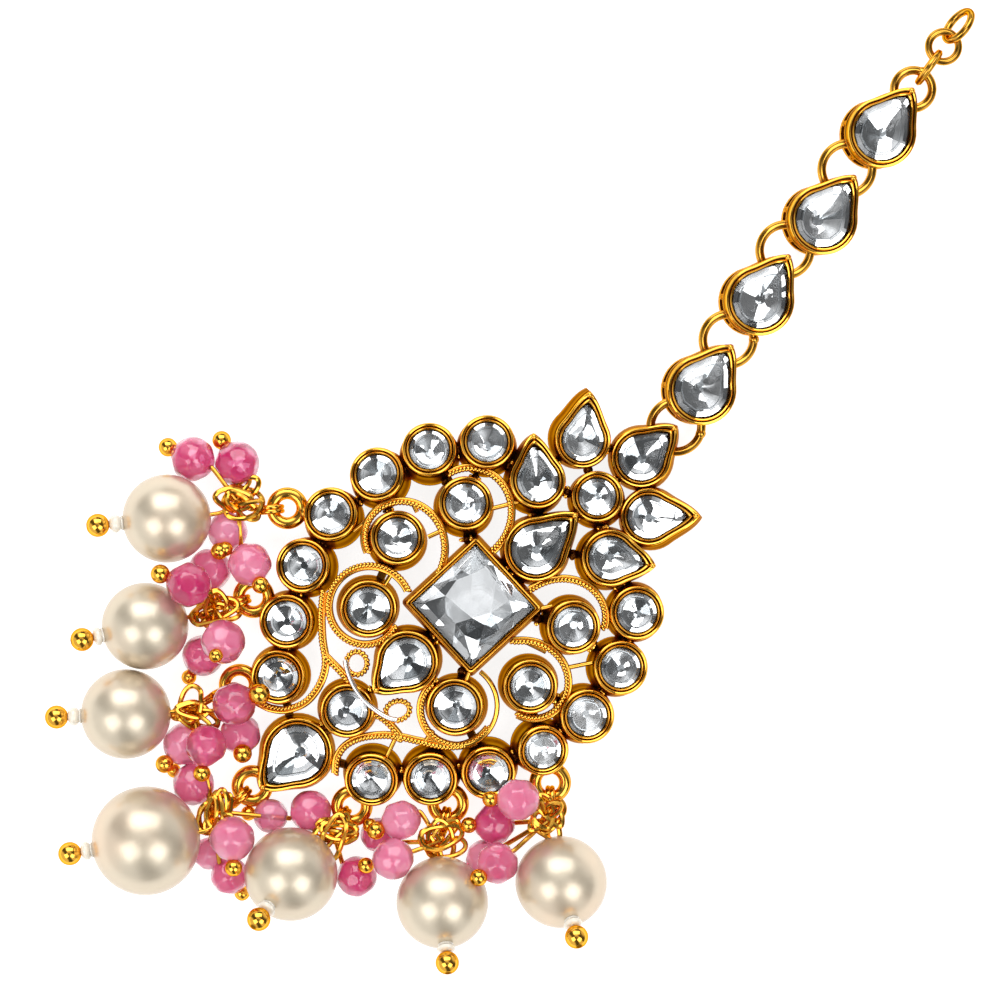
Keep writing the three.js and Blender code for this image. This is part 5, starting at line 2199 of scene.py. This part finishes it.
        # The third number of each row is grime and painted shade: grooves, the base's underside and the
        # hollow below the rim are dark, partly grime and partly painted shade; crests stay clean.
        base = [(0.06, 0.0, 0.7), (0.0, 0.08, 0.4), (0.0, 0.36, 0.2), (0.06, 0.45, 0.1),
                (0.52, 0.45, 0.3), (0.6, 0.38, 0.7), (0.6, 0.05, 0.9), (0.54, 0.0, 0.9), (0.06, 0.0, 0.7)]
        body.loft(outline, base, place, caps=False)
        top = self.base_h + self.gallery_h
        h = self.height
        cup = [(0.3, top, 0.9), (0.06, top + 0.04, 0.6), (0.0, top + 0.14, 0.2), (0.02, top + 0.34, 0.2),
               (0.1, top + 0.42, 0.85), (0.08, top + 0.52, 0.5), (0.02, h - 0.62, 0.3),
               (0.08, h - 0.52, 0.8), (0.04, h - 0.44, 0.3), (-0.03, h - 0.3, 0.05),
               (-0.02, h - 0.14, 0.0), (0.05, h - 0.03, 0.0), (0.14, h, 0.0), (0.22, h - 0.05, 0.1),
               (0.27, h - 0.2, 1.0), (0.33, h - 0.18, 1.0), (0.38, h - 0.05, 0.1), (0.46, h + 0.01, 0.0),
               (0.54, h - 0.03, 0.0), (0.6, h - 0.16, 0.8), (0.66, h - 0.35, 1.0), (0.68, h - 1.4, 1.0)]
        body.loft(outline, cup, place)
        body.ball(moved(tip_spot(outline, h - 0.14), place)[0], 0.32, 0.1, segments=14)
        self._arcade(body, row, outline, place, top)

    def _arcade(self, body: Solid, row: ChainRow, outline: Outline, place: Matrix, top: float) -> None:
        """Adds the gallery's posts and their knobs.

        Args:
            body: where they go.
            row: the setting's row.
            outline: the setting's outline.
            place: its frame.
            top: height of the gallery's top.
        """
        back = 180 + row.bearing - row.turn
        tip = 0.6 * (row.onward - row.turn)
        posts = [tip, 58, -58, back - 62, back, back + 62]
        ring = outline(self.base_w / 2)
        angles = np.degrees(np.arctan2(ring[:, 1], ring[:, 0]))
        for bearing in posts:
            off = (angles - bearing + 180) % 360 - 180
            spot = ring[int(np.argmin(np.abs(off)))]
            if abs(bearing - tip) < 0.1:
                spot = spot * 0.93
            levels = (0.3, self.base_h + 0.35, top - 0.35, top + 0.15)
            line = np.array([[*spot, level] for level in levels])
            body.sweep(moved(line, place), circle_section(self.post_r, 12), tone=0.3)
            for level in (self.base_h + 0.12, top - 0.12):
                knob = moved(np.array([[*spot, level]]), place)[0]
                body.ball(knob, self.knob_r, 0.4, segments=12)

    def _ring(self, body: Solid, radius: float, place: Matrix, number: int) -> None:
        """Adds a grooved wire ring whose ends lap.

        Args:
            body: where it goes.
            radius: the ring's radius.
            place: its frame.
            number: its number, which turns the lap.
        """
        section, tone = grooved_section(self.wire_r, (60, 120, 240, 300), 0.16)
        body.sweep(ring_path(radius, place, 64), section, True, tone)
        angle = math.radians(-70 + 20 * number)
        spot = np.array([[math.cos(angle) * radius, math.sin(angle) * radius, 0.0]])
        end = moved(spot, place)[0]
        body.ball(end + heading(math.degrees(angle)) * 0.05, self.wire_r * 1.18, 0.3, segments=14)

    def _links(self, body: Solid) -> None:
        """Adds the three last links.

        Args:
            body: where they go.
        """
        bearing = CHAIN[-1].turn
        along, side, up = heading(bearing), heading(bearing - 90), np.array([0.0, 0.0, 1.0])
        height = self.end_link_r + self.end_wire_r + FLOOR_GAP
        reach = self.end_ring_r + self.end_link_r - self.wire_r - self.end_wire_r - self.link_gap
        first = self.rings[-1] + along * reach
        first = np.array([first[0], first[1], height])
        step = self.end_link_r + self.end_middle_r - 2 * self.end_wire_r + self.link_fuse
        second, third = first + along * step, first + along * step * 2
        section, tone = grooved_section(self.end_wire_r, (60, 120, 240, 300), 0.14)
        upright = axes(first, along, up, side)
        level = Matrix.Translation(Vector(second))
        tilt = Matrix.Rotation(math.radians(self.last_tilt), 4, Vector(along))
        last = tilt @ axes((0, 0, 0), along, up, side)
        last.translation = Vector(third)
        for radius, place in ((self.end_link_r, upright), (self.end_middle_r, level),
                              (self.end_link_r, last)):
            body.sweep(ring_path(radius, place), section, True, tone)


@dataclass
class Drop:
    """One pearl drop with its wire, beads and balls; sizes in mm.

    Args:
        row: the drop's layout.
        number: its number.
        gold, pearl, quartz, seed: its finishes.
        tangle: the loose wire.
        end_ball_r: the ball at the pin's end.
        eye_r, eye_out: the wire eye, and its way out from the loop's middle line.
        eye_wire_r, pin_r, stem_r: wires of the eye, the pin and a bead's stem.
        bore_r: the pearl's hole.
        bead_swell: a bead's radius before it is cut, as a share of the finished one.
        coil_count, coil_wander, coil_scale: loose loops, how far they stray and how finely.
    """

    row: DropRow
    number: int
    gold: bpy.types.Material
    pearl: bpy.types.Material
    quartz: bpy.types.Material
    seed: bpy.types.Material
    tangle: WireTangle
    end_ball_r: float = 1.08
    eye_r: float = 1.0
    eye_out: float = 0.1
    eye_wire_r: float = 0.25
    pin_r: float = 0.2
    stem_r: float = 0.22
    bore_r: float = 0.36
    bead_swell: float = 1.05
    coil_count: int = 5
    coil_wander: float = 0.5
    coil_scale: float = 0.25

    def __post_init__(self) -> None:
        """Places the pearl, the eye, the knot and the end ball."""
        row = self.row
        x, y, up = row.loop
        x, y, up = row.loop
        self.centre = np.array([x * PLATE_R, y * PLATE_R, up * CUP_H])
        px, py, r = row.pearl
        self.middle = np.array([self.centre[0] + px, self.centre[1] + py, r + FLOOR_GAP])
        self.axis = heading(row.axis) * math.cos(math.radians(row.rise))
        self.axis[2] = math.sin(math.radians(row.rise))
        self.exit = self.middle - self.axis * (r + 0.6)
        outward = self.exit - self.centre
        outward[2] = 0
        self.outward = outward / np.linalg.norm(outward)
        self.eye = self.centre + self.outward * (LOOP_R + self.eye_out)
        kx, ky, kz = row.knot
        self.knot = np.array([self.centre[0] + kx, self.centre[1] + ky, kz])
        self.ball = self.middle + self.axis * row.tail

    def build(self) -> list[bpy.types.Object]:
        """Builds the drop.

        Returns:
            Its pearl, wire, beads and seed beads.
        """
        n = self.number
        return [dress(self._pearl().build(f"pearl_{n}", self.pearl, 40), "pearl", f"drop_pearl_{n}"),
                dress(self._wire().build(f"wire_{n}", self.gold), "gold", f"drop_wire_{n}"),
                dress(self._beads().build(f"beads_{n}", self.quartz, 20), "pearl"),
                dress(self._seed().build(f"seed_{n}", self.seed, 60), "pearl")]

    def _turned(self, origin: Array, profile: Array, steps: int, into: Solid) -> None:
        """Adds a body turned about the pearl's axis.

        Args:
            origin: the body's middle.
            profile: its radius and way along at each row.
            steps: faces round it.
            into: where it goes.
        """
        angle = np.arange(steps) * 2 * math.pi / steps
        rings = [np.column_stack([np.cos(angle) * r, np.sin(angle) * r, np.full(steps, z)])
                 for r, z in profile]
        points = moved(np.concatenate(rings), about(origin, self.axis))
        into.add(points, belts(len(profile), steps, True), 0.1)

    def _pearl(self) -> Solid:
        """The drilled pearl.

        Returns:
            Its mesh data.
        """
        body = Solid()
        r = self.row.pearl[2]
        start = math.asin(self.bore_r / r)
        angle = np.linspace(start, math.pi - start, 40)
        profile = np.column_stack([r * np.sin(angle), -r * np.cos(angle)])
        self._turned(self.middle, profile, 56, body)
        return body

    def _seed(self) -> Solid:
        """The two small white beads between the pearl and its end ball.

        Returns:
            Their mesh data.
        """
        body = Solid()
        r = self.row.pearl[2]
        room = self.row.tail - r - self.end_ball_r
        for share, size, half in ((0.05, 0.72, 0.22), (0.56, 0.88, min(room * 0.5, 0.8))):
            centre = self.middle + self.axis * (r + room * share)
            angle = np.linspace(0.3, math.pi - 0.3, 14)
            profile = np.column_stack([size * np.sin(angle), -half * np.cos(angle)])
            self._turned(centre, profile, 24, body)
        return body

    def _wire(self) -> Solid:
        """The eye, the pin, the loose loops and the stems.

        Returns:
            Their mesh data.
        """
        body = Solid()
        thin = circle_section(self.eye_wire_r, 10)
        section = circle_section(self.pin_r, 10)
        up = np.array([0.0, 0.0, 1.0])
        eye = axes(self.eye, self.outward, up, np.cross(self.outward, up))
        side = np.cross(self.outward, up)
        for offset in (-0.2, 0.2):
            shifted = eye.copy()
            shifted.translation = eye.translation + Vector(side * offset)
            body.sweep(ring_path(self.eye_r, shifted, 32), thin, True, 0.1)
            start = self.eye + self.outward * self.eye_r + side * offset
            path = np.array([start - up * 0.1, start + (self.knot - start) * 0.4 + up * 0.25, self.knot])
            body.sweep(smooth_path(path), thin, tone=0.25)
        path = np.array([self.knot, (self.knot + self.exit) / 2 + up * 0.2, self.exit, self.middle])
        body.sweep(smooth_path(path), section, tone=0.15)
        body.sweep(np.array([self.middle, self.ball]), section, tone=0.1)
        self._pin_ball(body, self.ball, self.axis, self.end_ball_r)
        self._coils(body)
        for bead in self.row.beads:
            self._stem(body, bead)
        return body

    def _coils(self, body: Solid) -> None:
        """Adds the loose loops of wire about the knot.

        Args:
            body: the drop's wire.
        """
        rng = np.random.default_rng(40 + self.number)
        bearing = math.degrees(math.atan2(self.outward[1], self.outward[0]))
        for k in range(self.coil_count):
            shift = np.array([*rng.uniform(-0.8, 0.8, 2), 0.0])
            centre = self.knot + shift
            centre[2] = max(self.knot[2] + rng.uniform(-0.5, 0.9), 1.6)
            place = standing(centre, rng.uniform(-0.35, 0.35, 2), bearing + rng.uniform(-65, 65))
            reach = rng.uniform(1.4, 2.1)
            line = ring_path(reach, place, 32, rng.uniform(0.35, 0.55))
            values = {"Wander": self.coil_wander, "Scale": self.coil_scale,
                      "Wire radius": self.eye_wire_r, "Seed": float(self.number * 7 + k)}
            body.take(self.tangle.apply(line, values, True), tone=0.2)

    def _stem(self, body: Solid, bead: BeadRow) -> None:
        """Adds a bead's stem from the knot, and its small ball.

        Args:
            body: the drop's wire.
            bead: the bead.
        """
        place = np.array([self.centre[0] + bead.x, self.centre[1] + bead.y, bead.z])
        out = self._ball_direction(bead)
        inner = place - out * (bead.r + 0.2)
        middle = (inner + self.knot) / 2 + np.array([0, 0, 0.3])
        line = smooth_path(np.array([self.knot, middle, inner, inner + out * 0.5]))
        body.sweep(line, circle_section(self.stem_r, 8), tone=0.35)
        if bead.ball:
            end = place + out * (bead.r + bead.ball * 0.9)
            body.sweep(np.array([end - out * bead.ball * 1.2, end]), circle_section(0.18, 8), tone=0.2)
            self._pin_ball(body, end, out, bead.ball)

    @staticmethod
    def _pin_ball(body: Solid, centre: Array, out: Array, radius: float) -> None:
        """Adds a drilled gold ball with the pin's end in its hole.

        Args:
            body: where it goes.
            centre: its centre.
            out: direction of its hole.
            radius: its radius.
        """
        place = about(centre, out / np.linalg.norm(out))
        hole = 0.2
        angle = np.linspace(math.asin(hole), math.pi - math.asin(hole), 18)
        rows = [(radius - radius * math.sin(a), -radius * math.cos(a), 0.06) for a in angle]
        # The rows at the hole's rim take high grime and painted shade, darker at the hole.
        rows[0] = (*rows[0][:2], 0.8)
        rows[-1] = (*rows[-1][:2], 0.8)
        body.loft(circle_outline(radius, 24), rows, place)

    def _ball_direction(self, bead: BeadRow) -> Array:
        """Direction from a bead to its small ball, or away from the knot if it has none.

        Args:
            bead: the bead.

        Returns:
            The direction.
        """
        if bead.ball:
            level = math.cos(math.radians(bead.up))
            return heading(bead.at) * level + np.array([0, 0, math.sin(math.radians(bead.up))])
        away = np.array([self.centre[0] + bead.x, self.centre[1] + bead.y, bead.z]) - self.knot
        return away / np.linalg.norm(away)

    def _beads(self) -> Solid:
        """The pink beads.

        Returns:
            Their mesh data.
        """
        body = Solid()
        for i, bead in enumerate(self.row.beads):
            rng = np.random.default_rng(100 * self.number + i)
            place = np.array([self.centre[0] + bead.x, self.centre[1] + bead.y, bead.z])
            shade = float(rng.uniform(0.1, 0.95))
            self._faceted(body, place, bead.r * self.bead_swell, self._ball_direction(bead),
                          rng, shade)
        return body

    @staticmethod
    def _faceted(body: Solid, centre: Array, radius: float, axis: Array, rng: np.random.Generator,
                 shade: float) -> None:
        """Adds a faceted bead: a ball cut by belts of planes about its drilled axis.

        Args:
            body: where it goes.
            centre: its centre.
            radius: its radius before it is cut.
            axis: direction of its hole.
            rng: random draws for its planes.
            shade: how deep its colour is, 0 to 1.
        """
        segments, rings = 44, 26
        normals = []
        spin = rng.uniform(0, math.pi)
        for polar, count, shift in ((90, 8, 0.0), (48, 7, 0.5), (132, 7, 0.2)):
            for k in range(count):
                angle = spin + (k + shift) * 2 * math.pi / count + rng.uniform(-0.08, 0.08)
                p = math.radians(polar + rng.uniform(-6, 6))
                normals.append((math.sin(p) * math.cos(angle), math.sin(p) * math.sin(angle),
                                math.cos(p)))
        planes = np.array(normals)
        depth = rng.uniform(0.925, 0.965, len(planes))
        hole = 0.17
        polar = np.linspace(hole, math.pi - hole, rings)
        around = np.arange(segments) * 2 * math.pi / segments
        p, a = np.meshgrid(polar, around, indexing="ij")
        points = np.stack([np.sin(p) * np.cos(a), np.sin(p) * np.sin(a), -np.cos(p)], -1).reshape(-1, 3)
        reach = depth[None, :] / np.maximum(points @ planes.T, 1e-3)
        soft = 90.0
        cut = -np.log(np.exp(-soft * np.minimum(reach, 3)).sum(1) + math.exp(-soft)) / soft
        points = points * (cut * radius)[:, None]
        faces = belts(rings, segments)
        faces.append(tuple(range(segments))[::-1])
        faces.append(tuple(range((rings - 1) * segments, rings * segments)))
        body.add(moved(points, about(centre, axis)), faces, 0.0, shade)


@dataclass(frozen=True)
class SoftBox:
    """A soft lamp that looks at the piece.

    Args:
        bearing: its direction in the photo, degrees.
        elevation: its height over the floor, degrees.
        width, height: its size, metres.
        watts: its power.
        distance: its way from the piece, metres.
    """

    bearing: float
    elevation: float
    width: float
    height: float
    watts: float
    distance: float = 0.55

    def build(self) -> None:
        """Adds the lamp."""
        data = bpy.data.lights.new("soft_box", "AREA")
        data.shape = "RECTANGLE"
        data.size, data.size_y = self.width, self.height
        data.energy = self.watts
        lamp = bpy.data.objects.new("soft_box", data)
        level = math.cos(math.radians(self.elevation)) * self.distance
        plan = heading(self.bearing + LAYOUT_TURN)[:2] * level
        spot = Vector((*plan, math.sin(math.radians(self.elevation)) * self.distance))
        lamp.location = spot
        lamp.rotation_mode = "QUATERNION"
        lamp.rotation_quaternion = (-spot).to_track_quat("-Z", "Y")
        bpy.context.scene.collection.objects.link(lamp)


@dataclass(frozen=True)
class Studio:
    """Floor, camera and soft lights.

    Args:
        floor_half: half the floor's width, metres.
        sensor: width of the camera's sensor, mm.
        boxes: the soft lamps.
    """

    floor_half: float = 1.5
    sensor: float = 36.0
    boxes: tuple[SoftBox, ...] = (
        SoftBox(92, 42, 0.62, 0.36, 2.0),
        SoftBox(212, 54, 0.32, 0.32, 0.9),
        SoftBox(-38, 54, 0.32, 0.32, 0.9),
    )

    def build(self) -> None:
        """Builds the studio."""
        self._floor()
        self._camera()
        self._world()
        for box in self.boxes:
            box.build()
        view = bpy.context.scene.view_settings
        view.view_transform = "Standard"
        view.look = "None"
        view.exposure = 0.0

    def _floor(self) -> None:
        """Adds the floor, which rides on no body."""
        mesh = bpy.data.meshes.new("floor")
        h = self.floor_half
        mesh.from_pydata([(-h, -h, 0), (h, -h, 0), (h, h, 0), (-h, h, 0)], [], [(0, 1, 2, 3)])
        mesh.materials.append(FloorFinish("floor_white", (0.42, 0.42, 0.42), 0.7).build())
        floor = bpy.data.objects.new("floor", mesh)
        bpy.context.scene.collection.objects.link(floor)

    def _camera(self) -> None:
        """Adds the camera over the middle of the photo."""
        data = bpy.data.cameras.new("camera")
        data.sensor_width = self.sensor
        data.lens = self.sensor * VIEW_H / VIEW_W
        data.clip_start, data.clip_end = 0.01, 10.0
        camera = bpy.data.objects.new("camera", data)
        spot = LAYOUT @ Vector((*AIM, VIEW_H))
        turn = math.radians(LAYOUT_TURN)
        camera.matrix_world = Matrix.Translation(spot) @ Matrix.Rotation(turn, 4, "Z")
        bpy.context.scene.collection.objects.link(camera)
        bpy.context.scene.camera = camera

    @staticmethod
    def _world() -> None:
        """Adds a light tent with dark flags, and a hole over the piece for the camera."""
        world = bpy.data.worlds.new("studio")
        world.use_nodes = True
        world.node_tree.nodes.clear()
        graph = Graph(world.node_tree)
        where = graph.node("ShaderNodeTexCoord")
        parts = graph.node("ShaderNodeSeparateXYZ", None, [where.outputs["Generated"]])
        x, y, z = (graph.out(parts, i) for i in range(3))
        right, up = heading(LAYOUT_TURN), heading(LAYOUT_TURN + 90)
        across = x * float(right[0]) + y * float(right[1])
        along = x * float(up[0]) + y * float(up[1])
        flags = ((across * 5.3 + along * 3.4 + 0.7).sine() * 0.5 + 0.5).span(0.25, 0.75)
        hole = z.span(0.95, 0.99)
        level = (flags * 0.76 + 0.1) * (1.0 - hole * 0.7)
        light = graph.node("ShaderNodeBackground", None, {"Color": (0.97, 0.985, 1.0, 1)})
        graph.feed(light.inputs["Strength"], level)
        end = graph.node("ShaderNodeOutputWorld")
        graph.feed(end.inputs["Surface"], light.outputs[0])
        bpy.context.scene.world = world


def main() -> None:
    """Builds every piece in order and reports it."""
    logging.basicConfig(level=logging.INFO, format="%(message)s")
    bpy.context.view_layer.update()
    gold = GoldFinish("antique_gold", (1.0, 0.52, 0.07), 0.1).build()
    # The bright wire's near-white colour is a painted highlight along a polished wire.
    pale_metal_painted_light = HighlightWireFinish("painted_highlight_wire", (0.9, 0.9, 0.9), 0.18).build()
    foil = FoilFinish("silver_foil", (0.93, 0.94, 0.95), 0.015).build()
    glass = GlassFinish("clear_stone", (1.0, 1.0, 1.0), 0.0).build()
    pearl = PearlFinish("cream_pearl", (0.69, 0.60, 0.46), 0.36).build()
    quartz = QuartzFinish("pink_quartz", (0.88, 0.21, 0.38), 0.06).build()
    seed = SeedFinish("seed_glass", (0.86, 0.79, 0.68), 0.12).build()

    rope, scroll, tangle = RopeEdge(gold), DomeScroll(gold), WireTangle(gold)
    made = Plate(gold, pale_metal_painted_light, rope, scroll).build()
    stones = Stones(glass, foil)
    chain = Chain(gold)
    made += stones.build("square_stone", stones.cuts([SQUARE], 16, 8), ["stone_square"])
    made += stones.build("pear_stones", stones.cuts(PEARS, 20, 6),
                         [f"stone_pear_{i + 1}" for i in range(len(PEARS))])
    made += stones.build("round_stones", stones.cuts(ROUNDS, 16, 5),
                         [f"stone_round_{i + 1}" for i in range(len(ROUNDS))])
    made += chain.build()
    made += stones.build("chain_stones", chain.stone_cuts(),
                         [f"chain_stone_{i + 1}" for i in range(len(CHAIN))])
    for i, row in enumerate(DROPS):
        made += Drop(row, i + 1, gold, pearl, quartz, seed, tangle).build()
    Studio().build()
    for piece in made:
        LOG.info("%s: %d faces", piece.name, len(piece.data.polygons))
    bpy.context.view_layer.update()


if __name__ == "__main__":
    main()
